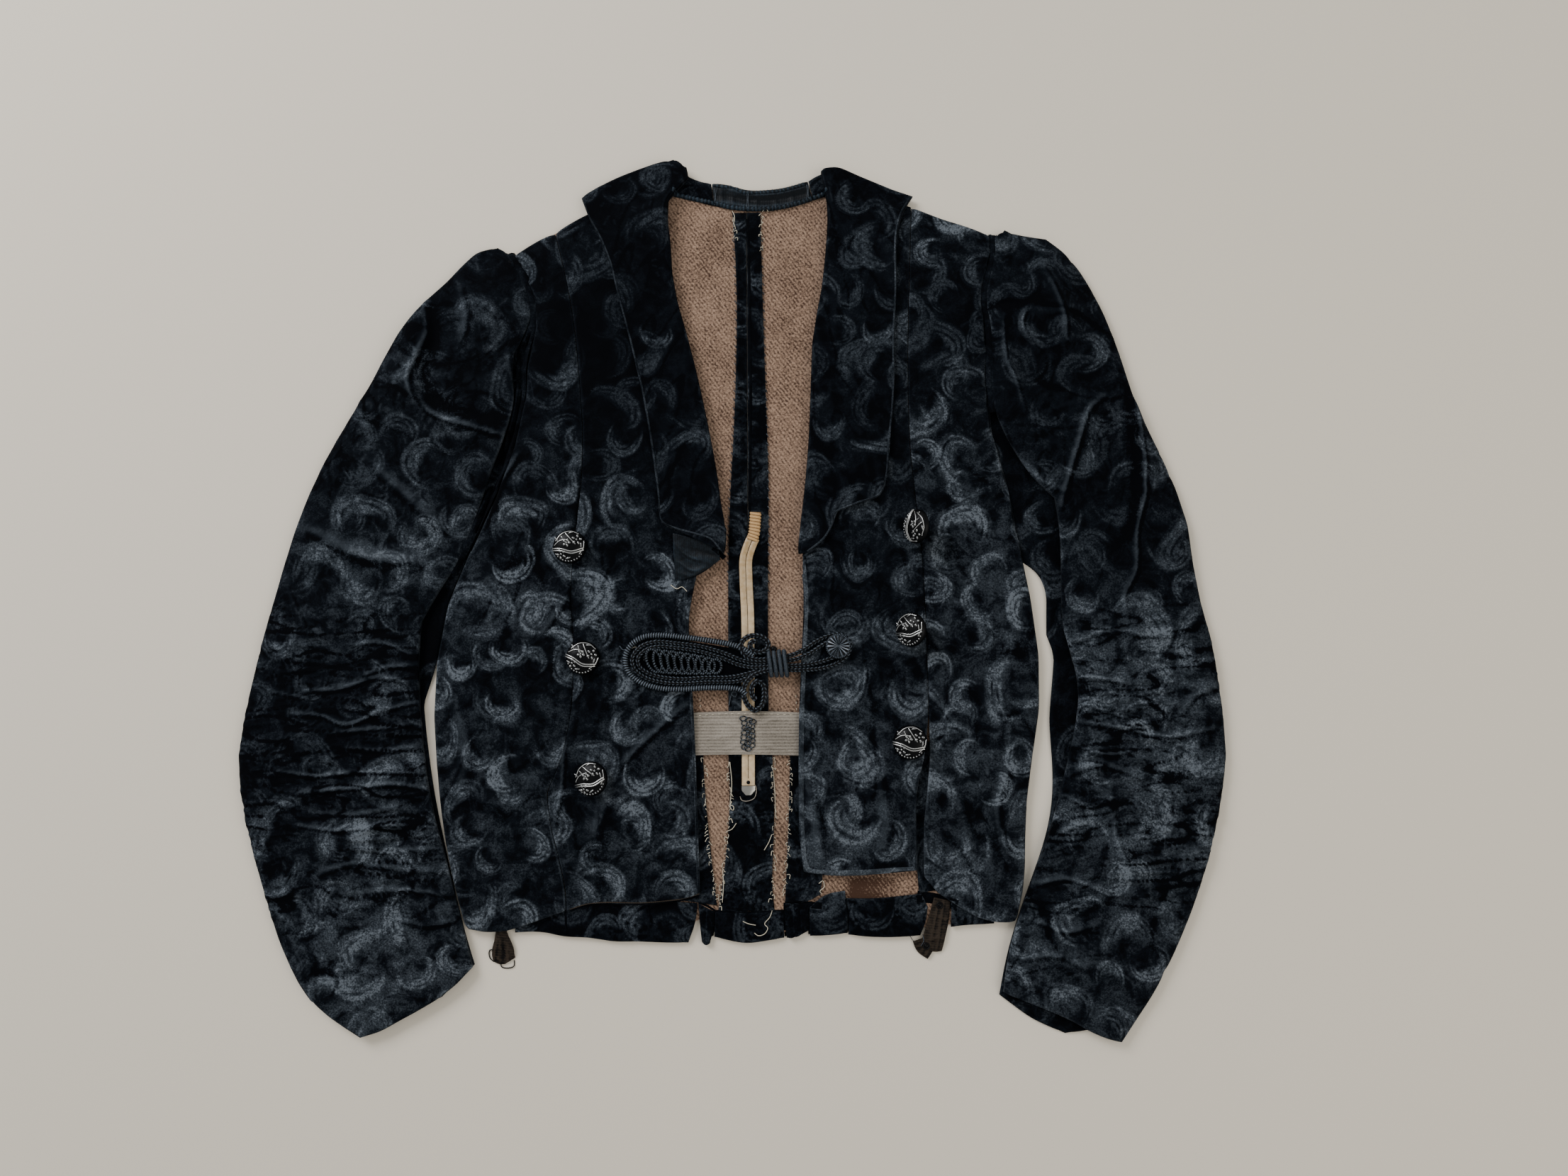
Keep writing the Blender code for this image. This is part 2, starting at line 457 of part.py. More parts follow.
def body():
    rows = 20
    # Side fronts wrap round the sides on to the floor
    plan = between(BODY_LEFT, SEAM_LEFT, rows, 6, SHOULDER_LEFT_SIDE, HEM_LEFT_SIDE, 0.6)
    surface = raised(plan, front_height(plan))
    turn, lip = side_fold(surface[:, 0], 22)
    wall("side_front_left", roll_under(surface, True, 0.0, turn, lip), WALL, "velvet")
    plan = between(SEAM_RIGHT + SLIT_RIGHT_SIDE, BODY_RIGHT, rows, 6, SHOULDER_RIGHT_SIDE, HEM_RIGHT_SIDE, 0.6)
    surface = raised(plan, front_height(plan))
    turn, lip = side_fold(surface[:, -1], 30)
    wall("side_front_right", roll_under(surface, False, 0.0, turn, lip), WALL, "velvet")
    # Fronts, from the seam that the buttons stand on to the opening
    plan = between(inset(SEAM_LEFT, SEAM_GAP), FRONT_LEFT, rows, 7, SHOULDER_LEFT_FRONT, HEM_LEFT_FRONT, 0.6)
    wall("front_left", raised(plan, front_height(plan)), WALL, "velvet")
    plan = between(FRONT_RIGHT, inset(SEAM_RIGHT + SLIT_RIGHT_FRONT, -SEAM_GAP), rows, 7,
                   SHOULDER_RIGHT_FRONT, HEM_RIGHT_FRONT, 0.6)
    wall("front_right", raised(plan, front_height(plan)), WALL, "velvet")
    # Backs on the floor, with their twill side up, inside the lips of the side folds
    reach = FRONT_TOP / 2 + LIP + 3 * CLEAR
    left_seam = CENTRE_BACK - SEAM_GAP / 2
    right_seam = CENTRE_BACK + SEAM_GAP / 2
    edge = inset(BODY_LEFT, 0.0)
    share = below(edge[:, 1], 60, 40)
    left_edge = inset(BODY_LEFT, ARMHOLE_INSET + share * (reach - ARMHOLE_INSET))
    plan = between(left_edge, [(left_seam, NECK_MIDDLE), (left_seam, -268)],
                   15, 6, BACK_NECK_LEFT, BACK_HEM_LEFT, 0.5)
    flat("back_left", plan, BACK_TOP, 0.0, "twill")
    edge = inset(BODY_RIGHT, 0.0)
    share = below(edge[:, 1], 66, 46)
    right_edge = inset(BODY_RIGHT, -ARMHOLE_INSET - share * (reach - ARMHOLE_INSET))
    plan = between([(right_seam, NECK_MIDDLE), (right_seam, -268)], right_edge,
                   15, 6, BACK_NECK_RIGHT, BACK_HEM_RIGHT, 0.5)
    flat("back_right", plan, BACK_TOP, 0.0, "twill")


def sleeve_lip(plan):
    # Shorter where the sleeve head is narrow.
    width = np.linalg.norm(plan[:, -1] - plan[:, 0], axis=1)
    return np.minimum(LIP, 0.2 * width)


def sleeves():
    rows = 31
    reach = SLEEVE_TOP / 2 + LIP + CLEAR
    plan = between(SLEEVE_LEFT_OUT, SLEEVE_LEFT_IN, rows, 8, (), CUFF_LEFT, 0.3)
    surface = raised(plan, SLEEVE_TOP + fold_height(plan, LEFT_SLEEVE_FOLDS))
    surface = roll_under(surface, True, 0.0, math.pi, sleeve_lip(plan), 3)
    surface = roll_under(surface, False, BACK_TOP + 0.7, math.radians(170), 0.6, 3)
    wall("upper_sleeve_left", surface, WALL - 0.2, "velvet")
    plan = between(inset(SLEEVE_LEFT_OUT, reach + 4), UNDER_LEFT_IN, UNDER_ROWS, 4, (), CUFF_LEFT[1:])
    flat("under_sleeve_left", plan, BACK_TOP, 0.0, "velvet_underside")
    plan = between(SLEEVE_RIGHT_IN, SLEEVE_RIGHT_OUT, rows, 8, (), CUFF_RIGHT, 0.3)
    surface = raised(plan, SLEEVE_TOP + fold_height(plan, RIGHT_SLEEVE_FOLDS))
    surface = roll_under(surface, False, 0.0, math.pi, sleeve_lip(plan), 3)
    surface = roll_under(surface, True, BACK_TOP + 0.7, math.radians(170), 0.6, 3)
    wall("upper_sleeve_right", surface, WALL - 0.2, "velvet")
    plan = between(UNDER_RIGHT_IN, inset(SLEEVE_RIGHT_OUT, -reach - 4), UNDER_ROWS, 4, (), UNDER_CUFF_RIGHT)
    flat("under_sleeve_right", plan, BACK_TOP, 0.0, "velvet_underside")


def revers():
    # Each revers lies on its front and rolls round the front's edge
    for name, left, right, top, at_left in (
        ("revers_left", REVERS_LEFT, ROLL_LEFT, REVERS_LEFT_TOP, False),
        ("revers_right", ROLL_RIGHT, REVERS_RIGHT, REVERS_RIGHT_TOP, True),
    ):
        plan = between(left, right, 20, 6, top, (), 0.5)
        height = front_height(plan) + REVERS_CLEAR + WALL + fold_height(plan, REVERS_FOLDS)
        surface = roll_under(raised(plan, height), at_left, FRONT_TOP - WALL - 0.3, math.pi, 0.5)
        wall(name, surface, WALL - 0.1, "velvet")


def inside():
    # Turnings of the centre back seam, above the waist
    over = BACK_TOP + CLEAR
    left_turning = [(3, 322), (4.7, 300), (6.6, 246), (4.7, 157), (0, 67), (-1, 10), (-1, -93)]
    right_turning = [(26.4, 322), (27.5, 270), (29, 205), (31, 139), (32, 100), (31, 0), (31, -93)]
    middle = [(CENTRE_BACK, 322), (CENTRE_BACK, -93)]
    plan = between(left_turning, inset(middle, -SEAM_GAP / 2), 12, 3)
    flat("seam_turning_left", plan, FACING_TOP, over, "velvet_underside")
    plan = between(inset(middle, SEAM_GAP / 2), right_turning, 12, 3)
    flat("seam_turning_right", plan, FACING_TOP, over, "velvet_underside")
    for name, left, right, hem in SKIRT_VELVET:
        flat(name, between(left, right, 12, 4, (), hem), FACING_TOP, over, "velvet")
    for name, left, right, top, hem in HEM_FACINGS:
        flat(name, between(left, right, 4, 8, top, hem), FACING_TOP, over, "velvet")
    # Two inverted pleats, folded to a point at the hem
    for name, left, right, hem, folds, rise in PLEATS:
        columns = 4 * folds + 1
        ridge = rise * np.abs(np.sin(np.linspace(0, folds * math.pi, columns)))[None] + np.zeros((6, 1))
        flat(name, between(left, right, 6, columns, (), hem), FACING_TOP + ridge, over, "velvet_underside")
    # Neck: a satin band at the back, and the velvet stand of the collar on both sides of it
    for name, left, right, top, bottom, colour in NECK:
        plan = between(left, right, 4, 8, top, bottom)
        arch = NECK_ARCH * np.sin(np.linspace(0.15, 1, 4) * math.pi)[:, None] + np.zeros((1, 8))
        flat(name, plan, FACING_TOP + arch, over, colour)
    # Back of the left revers, which shows below its corner
    plan = between([(-45.5, 53), (-43.5, 14)], [(-10, 44), (-7, 31)], 4, 6, (), [(-31, 15.5), (-19, 21.5)])
    flat("satin_facing_left", plan, front_height(plan) + CLEAR + 0.9, front_height(plan) + CLEAR, "satin")


def waist():
    bone = FACING_TOP + CLEAR
    line = [(19.6, 49), (16.8, 43), (13.5, 32), (13.4, 16), (14.6, -14), (14.8, -60), (14.7, -149.5)]
    plan = between(inset(line, -5.2), inset(line, 5.2), 14, 3)
    flat("bone", plan, bone + THIN, bone, "bone")
    plan = between([(16.5, 70), (15.3, 52.6)], [(26, 69), (25, 52.6)], 5, 5, [(21, 70.5)])
    swell = 0.9 * np.sin(np.linspace(0, math.pi, 5))[None] + np.zeros((5, 1))
    flat("bone_winding", plan, bone + THIN + swell, bone, "cord")
    plan = between([(9.5, -149.9), (9.7, -155)], [(19.9, -149.9), (19.7, -155)], 3, 5, (), [(14.7, -157.5)])
    flat("bone_tip", plan, bone + THIN + 0.3, bone, "nickel")
    # The waist tape crosses the bone and runs on under both fronts
    plan = between([(-52, -92.5), (-52, -126)], [(82, -93.5), (82, -127.5)], 3, 22,
                   [(15, -90.6)], [(15, -125)])
    near = np.exp(-(((plan[..., 0] - 14.7) / 15) ** 2))
    lift = (THIN + 0.75) * np.clip(near * 1.7, 0, 1)
    flat("waist_tape", plan, bone + lift + 0.8, bone + lift, "tape")
    # Ribbon-bound ends of two side bones, which droop to the floor past the hem
    for name, left, right, end in (
        ("bone_end_left", [(-184.5, -241), (-183.5, -262), (-188.5, -277), (-187, -286)],
         [(-175.5, -241), (-176.5, -262), (-171, -273), (-170, -283)], [(-180, -288.5)]),
        ("bone_end_right", [(160.2, -237), (156.2, -252), (150.4, -268), (149, -275.5)],
         [(173, -240), (171.3, -256), (168.4, -268), (165.8, -279)], [(157, -279)]),
    ):
        plan = between(left, right, 7, 5, (), end)
        floor = (BACK_TOP + CLEAR) * (1 - below(plan[..., 1], -263, -284))
        flat(name, plan, floor + 1.5, floor, "ribbon")


def make_cord(name, route, width, colour):
    # A closed tube along a route of three-dimensional points.
    curve = bpy.data.curves.new(name, "CURVE")
    curve.dimensions = "3D"
    curve.bevel_depth = width / 2 * MM
    curve.bevel_resolution = 1
    curve.use_fill_caps = True
    spline = curve.splines.new("POLY")
    spline.points.add(len(route) - 1)
    for point, place in zip(spline.points, to_world(route)):
        point.co = (*place, 1)
    curve.materials.append(shade(colour))
    piece = bpy.data.objects.new(name, curve)
    bpy.context.scene.collection.objects.link(piece)
    return piece


def frog():
    rest = FRONT_TOP + CLEAR
    for bar in FROG:
        length = np.sum(np.linalg.norm(np.diff(np.array(bar.points), axis=0), axis=1))
        plan = smooth_curve(bar.points, spaced(int(length / 6.2)))
        make_cord(bar.name, raised(plan, rest + bar.width / 2), bar.width, "cord")
    # Upper curl: a straight run from under the wraps, then the spiral
    t = spaced(26)
    angle = math.radians(-90) - t * CURL_TURNS * 2 * math.pi
    radius = CURL_RADII[0] + (CURL_RADII[1] - CURL_RADII[0]) * t
    spiral = np.array(CURL_MIDDLE) + radius[:, None] * np.stack([np.cos(angle), np.sin(angle)], axis=1)
    plan = np.concatenate([[(38, -47.4), (31, -47.4), (26, -47.7)], spiral])
    make_cord("frog_upper_curl", raised(plan, rest + CORD / 2), CORD, "cord")
    # Thread wraps that bind the cords into a waist
    for number in range(WRAPS):
        x = WRAP_X + number * WRAP_STEP
        route = [(x, -43.9, rest + 0.6), (x, -43.9, rest + 3.2), (x, -46.6, rest + 5.2),
                 (x + 0.3, -53, rest + 5.9), (x + 0.5, -59.6, rest + 5.2), (x + 0.5, -62.1, rest + 3.2),
                 (x + 0.5, -62.1, rest + 0.6)]
        make_cord("frog_wrap_%d" % (number + 1), route, 3.5, "cord")
    # Chain of loops inside the left loop, as a ribbed bar
    rows = 3
    plan = between([(-67.5, -46), (-67.5, -55)], [(-9, -51), (-9, -59)], rows + 2, 28,
                   [(-60, -43.4), (-40, -44.4), (-22, -47)], [(-60, -58.2), (-40, -60.6), (-22, -60.4)])
    across = np.sin(np.linspace(0.12, 0.88, rows + 2) * math.pi)[:, None]
    ribs = 0.75 + 0.25 * np.cos(np.arange(28) * math.pi)[None]
    flat("frog_chain", plan, rest + 3.4 * across * ribs, rest, "cord")
    # Cloth-covered disc that the right loops lie round
    turned("frog_disc", 87, -39.8, rest + CORD + CLEAR, DISC_RADIUS,
           [(0.80, 0), (0.97, 0.9), (1.0, 2.2), (0.9, 3.1), (0.5, 3.4)], 3.5, 0, "cord")


def turned(name, x, y, z, radius, profile, peak, tilt, colour, segments=14):
    # A solid of revolution about a leaning axis, its lowest point at height z.
    points = [(0, 0, 0)]
    for share, height in profile:
        for k in range(segments):
            angle = 2 * math.pi * k / segments
            points.append((radius * share * math.cos(angle), radius * share * math.sin(angle), height))
    points.append((0, 0, peak))
    points = np.array(points)
    lean = math.radians(-tilt)
    turn = np.array([[math.cos(lean), 0, math.sin(lean)], [0, 1, 0], [-math.sin(lean), 0, math.cos(lean)]])
    points = points @ turn.T
    middle = (points[:, 0].min() + points[:, 0].max()) / 2
    points += (x - middle, y, z - points[:, 2].min())
    faces = []
    last = len(points) - 1
    for k in range(segments):
        after = (k + 1) % segments
        faces.append((0, 1 + after, 1 + k))
        top = 1 + (len(profile) - 1) * segments
        faces.append((last, top + k, top + after))
        for ring in range(len(profile) - 1):
            base = 1 + ring * segments
            faces.append((base + k, base + after, base + segments + after, base + segments + k))
    return make_mesh(name, points, faces, colour)


def buttons():
    dome = [(0.72, 0), (0.97, 1.2), (1.0, 2.6), (0.86, 5.4), (0.52, 7.8)]
    for name, x, y, tilt in BUTTONS:
        # A button that leans rests on its left rim only
        around = np.linspace(0.5, 1.5 if tilt > 30 else 2.5, 12)[:, None] * math.pi
        reach = 10 * math.cos(math.radians(tilt))
        ring = np.array([x, y]) + reach * np.concatenate([np.cos(around), np.sin(around)], axis=1)
        place = front_height(ring).max()
        turned(name, x, y, place + CLEAR, BUTTON_RADIUS, dome, BUTTON_HEIGHT, tilt, "button_metal")


def main():
    for old in list(bpy.data.objects):
        bpy.data.objects.remove(old)
    body()
    sleeves()
    revers()
    inside()
    waist()
    frog()
    buttons()


main()
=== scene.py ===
import math
import random
from functools import partial

import bmesh
import bpy
import numpy as np
from mathutils import Matrix, Vector, noise
from mathutils.bvhtree import BVHTree


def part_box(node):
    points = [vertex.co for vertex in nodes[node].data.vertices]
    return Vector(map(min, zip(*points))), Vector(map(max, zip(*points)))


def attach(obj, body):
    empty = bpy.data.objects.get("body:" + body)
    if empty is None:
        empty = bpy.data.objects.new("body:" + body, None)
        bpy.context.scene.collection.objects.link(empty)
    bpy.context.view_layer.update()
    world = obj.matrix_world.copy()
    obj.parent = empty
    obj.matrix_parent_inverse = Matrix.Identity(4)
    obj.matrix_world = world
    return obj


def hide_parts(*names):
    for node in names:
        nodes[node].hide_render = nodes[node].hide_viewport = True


# Figured velvet bodice jacket, laid flat with its fronts open
# Plan lengths are millimetres, x to the viewer's right and y towards the neck

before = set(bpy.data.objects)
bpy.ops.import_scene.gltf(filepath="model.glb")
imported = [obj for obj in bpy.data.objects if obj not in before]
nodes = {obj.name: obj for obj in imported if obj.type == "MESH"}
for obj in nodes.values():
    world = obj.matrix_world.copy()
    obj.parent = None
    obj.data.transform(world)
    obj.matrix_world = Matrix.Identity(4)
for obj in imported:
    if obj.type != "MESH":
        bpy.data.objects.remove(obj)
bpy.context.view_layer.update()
mm = 0.001
planMiddle = (-0.5, 9.6)  # plan point that lies over the frame's origin


def toRow(x, y, z=0.0):
    return Vector(((x - planMiddle[0]) * mm, (y - planMiddle[1]) * mm, z * mm))


def linear(code):
    parts = [int(code[i:i + 2], 16) / 255 for i in (1, 3, 5)]
    return tuple(p / 12.92 if p <= 0.04045 else ((p + 0.055) / 1.055) ** 2.4 for p in parts)


def wire(node, inputs):
    # A dictionary by socket, or a list from the first socket on
    for key, value in inputs.items() if isinstance(inputs, dict) else enumerate(inputs):
        if isinstance(value, bpy.types.NodeSocket):
            node.id_data.links.new(value, node.inputs[key])
        else:
            node.inputs[key].default_value = value
    return node.outputs


def addNode(tree, kind, inputs=(), **settings):
    node = tree.nodes.new("ShaderNode" + kind)
    for key, value in settings.items():
        setattr(node, key, value)
    return wire(node, inputs)


def addObject(name, mesh):
    piece = bpy.data.objects.new(name, mesh)
    bpy.context.scene.collection.objects.link(piece)
    return piece


def place(piece, material, slot, *replaced):
    piece.data.materials.clear()
    piece.data.materials.append(material)
    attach(piece, "root")
    if replaced:
        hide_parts(*replaced)
    return piece


# Camera of a phone held over the garment's middle

phoneCamera = {
    "place": (60.5, -92.6, 949.1),  # millimetres from the frame's origin
    "look": (-0.01683, 0.09562, -0.99528),
    "up": (0.00832, 0.99540, 0.09549),
    "lens": 27.04,
}


def makeCamera():
    lens = bpy.data.cameras.new("camera")
    lens.lens = phoneCamera["lens"]
    lens.sensor_width = 36.0
    lens.clip_start = 0.05
    camera = addObject("camera", lens)
    look, up = Vector(phoneCamera["look"]), Vector(phoneCamera["up"])
    turn = Matrix((look.cross(up), up, -look)).transposed()
    camera.matrix_world = Matrix.Translation(Vector(phoneCamera["place"]) * mm) @ turn.to_4x4()
    bpy.context.scene.camera = camera


makeCamera()
print("camera placed")

# Materials


def newMaterial(name):
    material = bpy.data.materials.new(name)
    material.use_nodes = True
    return material, partial(addNode, material.node_tree), material.node_tree.nodes["Principled BSDF"]


def ramp(add, value, *stops):
    # Colours along a value from 0 to 1, each stop a place and a hex code
    outputs = add("ValToRGB", {"Fac": value})
    colours = outputs[0].node.color_ramp.elements
    while len(colours) < len(stops):
        colours.new(0.5)
    for element, (at, code) in zip(colours, stops):
        element.position = at
        element.color = (*linear(code), 1)
    return outputs["Color"]


def millimetres(add):
    return add("VectorMath", {0: add("TexCoord")["Object"], "Scale": 1000.0}, operation="SCALE")[0]


figuredVelvet = {
    "ground": "#010205",  # pile standing straight, which swallows the light
    "shade": "#0b1016",
    "figure": "#33393f",  # pile pressed flat, which gives it back
    "worn": "#60676e",
    "strokes": 33.0,  # three or four strokes side by side in a curl
    "pile": 0.7,  # tufts are 0.4 mm apart, drawn coarser so that they show
    "cloud": 0.06,
    "mottle": (0.41, 0.74),  # how much of the cloud becomes rubbed patches
    "wear": (0.04, 0.52),  # how light they are, from dark areas to light ones
    "clearness": (0.1, 0.72),  # how plain the figure is, from dark areas to light ones
    "pileDepth": 0.0005,
    "roughness": 0.9,
    "specular": 0.06,  # hardly any shine, as light falls between the tufts
    "sheen": 0.03,
    "sheenTint": "#c3ccd6",
}


def figureStrokes(add, attribute, offset):
    # One comma: a broad soft belly of pile with brushed strokes in it, tapering off into two horns
    local = add("Attribute", attribute_name=attribute)["Vector"]
    bent = add("VectorMath", [local, offset], operation="ADD")[0]
    parts = add("SeparateXYZ", [bent])
    seed = add("SeparateXYZ", [local])[2]
    flat = add("CombineXYZ", [parts[0], parts[1]])[0]
    radius = add("VectorMath", [flat], operation="LENGTH")[1]
    angle = add("Math", [parts[1], parts[0]], operation="ARCTAN2")[0]
    outer = add("Math", [angle, -0.05, 0.84], operation="MULTIPLY_ADD")[0]  # its back winds inwards
    depth = add("Math", [outer, radius], operation="SUBTRACT")[0]
    turned = add("Math", [angle, 0.6], operation="SUBTRACT")[0]
    side = add("Math", [turned], operation="COSINE")[0]
    thick = add("Math", [side, 0.37, 0.33], operation="MULTIPLY_ADD")[0]  # widest on one side
    outside = add("MapRange", [depth, -0.06, 0.1], interpolation_type="SMOOTHSTEP")[0]
    left = add("Math", [thick, depth], operation="SUBTRACT")[0]
    inside = add("MapRange", [left, -0.1, 0.2], interpolation_type="SMOOTHSTEP")[0]
    horns = add("MapRange", [thick, 0.02, 0.3], interpolation_type="SMOOTHSTEP")[0]
    bandSides = add("Math", [outside, inside], operation="MULTIPLY")[0]
    band = add("Math", [bandSides, horns], operation="MULTIPLY")[0]
    shift = add("Math", [seed, 50.0], operation="MULTIPLY")[0]
    wave = add("Math", [depth, figuredVelvet["strokes"], shift], operation="MULTIPLY_ADD")[0]
    strokes = add("Math", [wave], operation="SINE")[0]
    sweep = add("CombineXYZ", [radius, angle, shift])[0]
    streak = add("VectorMath", [sweep, (8.0, 0.9, 1.0)], operation="MULTIPLY")[0]
    brushed = add("TexNoise", {"Vector": streak, "Scale": 1.0, "Detail": 3.0, "Roughness": 0.6})["Fac"]
    combed = add("Math", [strokes, 0.13, brushed], operation="MULTIPLY_ADD")[0]
    ragged = add("Math", [thick, 0.3, combed], operation="MULTIPLY_ADD")[0]
    soft = add("MapRange", [ragged, 0.28, 0.82], interpolation_type="SMOOTHSTEP")[0]
    masked = add("Math", [soft, band], operation="MULTIPLY")[0]
    return add("Math", [masked, seed], operation="MULTIPLY")[0]


def makeVelvet(name, lift):
    # Silk velvet with a voided scroll, crushed and rubbed by wear, with painted light and shade on its folds
    material, add, shader = newMaterial(name)
    where = millimetres(add)
    wander = add("TexNoise", {"Vector": where, "Scale": 0.02, "Detail": 0.0})
    centred = add("VectorMath", [wander["Color"], (0.5, 0.5, 0.5)], operation="SUBTRACT")[0]
    offset = add("VectorMath", {0: centred, "Scale": 0.8}, operation="SCALE")[0]
    first = figureStrokes(add, "curlNear", offset)
    second = figureStrokes(add, "curlFar", offset)
    figure = add("Math", [first, second], operation="MAXIMUM")[0]
    tone = add("Attribute", attribute_name="tone")["Fac"]
    crest = add("Attribute", attribute_name="crest")["Fac"]
    cloud = add("TexNoise", {"Vector": where, "Scale": figuredVelvet["cloud"], "Detail": 7.0,
                             "Roughness": 0.68, "Distortion": 0.5})["Fac"]
    spread = add("Math", [tone, 0.09, cloud], operation="MULTIPLY_ADD")[0]
    mottle = add("MapRange", [spread, *figuredVelvet["mottle"]], interpolation_type="SMOOTHSTEP")[0]
    worn = add("MapRange", [tone, 0.0, 1.2, *figuredVelvet["wear"]])[0]
    washed = add("Math", [mottle, worn], operation="MULTIPLY")[0]
    strength = add("MapRange", [tone, -0.3, 0.7, *figuredVelvet["clearness"]])[0]
    rubbed = add("TexNoise", {"Vector": where, "Scale": 0.15, "Detail": 4.0, "Roughness": 0.7})["Fac"]
    broken = add("MapRange", [rubbed, 0.36, 0.6, 0.55, 1.2])[0]
    left = add("Math", [figure, broken], operation="MULTIPLY")[0]
    drawn = add("Math", [left, strength], operation="MULTIPLY")[0]
    both = add("Math", [drawn, 1.0, washed], operation="MULTIPLY_ADD")[0]
    pile = add("TexNoise", {"Vector": where, "Scale": figuredVelvet["pile"], "Detail": 3.0,
                            "Roughness": 0.75})["Fac"]
    grit = add("MapRange", [pile, 0.3, 0.7, 0.25, 1.75])[0]
    speckled = add("Math", [both, grit], operation="MULTIPLY")[0]
    # Painted light and shade: the crest attribute lightens fold crests and darkens grooves and the shaded
    # sides of ridges
    edged = add("Math", [crest, 0.5, speckled], operation="MULTIPLY_ADD")[0]
    light = add("Math", [edged, lift], operation="ADD", use_clamp=True)[0]
    colour = ramp(add, light, (0.0, figuredVelvet["ground"]), (0.15, figuredVelvet["shade"]),
                  (0.55, figuredVelvet["figure"]), (1.0, figuredVelvet["worn"]))
    height = add("Math", [pile, 0.7, figure], operation="MULTIPLY_ADD")[0]
    bump = add("Bump", {"Height": height, "Distance": figuredVelvet["pileDepth"], "Strength": 0.7})["Normal"]
    wire(shader, {"Base Color": colour, "Normal": bump, "Roughness": figuredVelvet["roughness"],
                  "Specular IOR Level": figuredVelvet["specular"], "Sheen Weight": figuredVelvet["sheen"],
                  "Sheen Roughness": 0.3, "Sheen Tint": (*linear(figuredVelvet["sheenTint"]), 1)})
    return material


# Deep matt black in which grey scrolls come and go, rubbed pale in patches, with painted highlights along the
# crests of its folds and painted shade in their grooves
velvet = makeVelvet("silkVelvetFigured", 0.0)
# The same cloth where it is turned under, a little darker
velvetReverse = makeVelvet("silkVelvetTurned", -0.02)

# IOR stays at 1.5 throughout, which is near enough to silk, cotton and horn

wovenCloths = {
    # dark and light yarn, rib direction as x and y parts, ribs a millimetre, roughness, sheen,
    # its nap: how strong and how many tufts a millimetre, and how strongly the painted light and shade of its
    # folds show
    # Real ribs are 0.4 to 1 mm apart, and are drawn two or three times coarser so that they show
    # Brown lining with a brushed diagonal, stained and quite without shine
    "cottonTwill": ("#432f24", "#ad917b", (0.8, 0.6), 0.36, 0.9, 0.05, 4.0, 0.6, 0.9),
    # Black neck band, with a gleam painted along its gathers and painted shade in their hollows
    "silkSatin": ("#090d11", "#32404b", (1.0, 0.0), 1.2, 0.34, 0.0, 0.9, 0.3, 0.5),
    # Stiff grey waist tape, ribbed across and fuzzy from handling
    "petersham": ("#575045", "#aaa296", (0.0, 1.0), 0.4, 0.72, 0.12, 1.4, 0.8, 0.5),
    # Nearly black ribbon, mottled brown, with painted highlights on the crests of its creases and painted
    # shade in their grooves
    "wornRibbon": ("#030202", "#302820", (0.1, 1.0), 0.5, 0.6, 0.0, 3.2, 0.24, 1.8),
    # Dull brown tape, seen as a thin line along the hem
    "bindingTape": ("#17120e", "#3f3428", (0.7, 0.7), 0.8, 0.8, 0.10, 1.0, 1.0, 0.3),
}


def makeWoven(name):
    # Ribs of yarn, crossed by finer threads, with slow stains, and painted light and shade where the crest
    # attribute marks folds
    dark, light, across, ribs, roughness, sheen, nap, tufts, fold = wovenCloths[name]
    material, add, shader = newMaterial(name)
    where = millimetres(add)
    parts = add("SeparateXYZ", [where])
    turned = add("Math", [parts[0], across[0]], operation="MULTIPLY")[0]
    run = add("Math", [parts[1], across[1], turned], operation="MULTIPLY_ADD")[0]
    uneven = add("TexNoise", {"Vector": where, "Scale": 0.22, "Detail": 3.0})["Fac"]
    phase = add("Math", [run, ribs * 2 * math.pi, uneven], operation="MULTIPLY_ADD")[0]
    wave = add("Math", [phase], operation="SINE")[0]
    stain = add("TexNoise", {"Vector": where, "Scale": 0.03, "Detail": 5.0, "Roughness": 0.6})["Fac"]
    fuzz = add("TexNoise", {"Vector": where, "Scale": tufts, "Detail": 5.0, "Roughness": 0.75})["Fac"]
    brushed = add("Math", [fuzz, nap], operation="MULTIPLY")[0]
    ribbed = add("Math", [wave, 0.2, brushed], operation="MULTIPLY_ADD")[0]
    # Painted light on fold crests and painted shade in grooves, weighted by the cloth's fold share
    folds = add("Attribute", attribute_name="crest")["Fac"]
    folded = add("Math", [folds, fold, ribbed], operation="MULTIPLY_ADD")[0]
    mixed = add("Math", [stain, 1.0, folded], operation="MULTIPLY_ADD")[0]
    middle = 0.5 + nap / 2
    # Satin stays dark but for its highest values, so that its gleam is mostly painted highlight on its folds
    glossAndPaintedGleam = name == "silkSatin"
    level = add("MapRange", [mixed, middle - (-0.05 if glossAndPaintedGleam else 0.55), middle + 0.55])[0]
    bump = add("Bump", {"Height": ribbed, "Distance": 0.0003, "Strength": 0.7})["Normal"]
    wire(shader, {"Base Color": ramp(add, level, (0.0, dark), (1.0, light)), "Normal": bump,
                  "Roughness": roughness, "Sheen Weight": sheen,
                  "Specular IOR Level": 0.1 if glossAndPaintedGleam else 0.12})
    return material


twill, satin, petersham, ribbon, binding = map(makeWoven, wovenCloths)

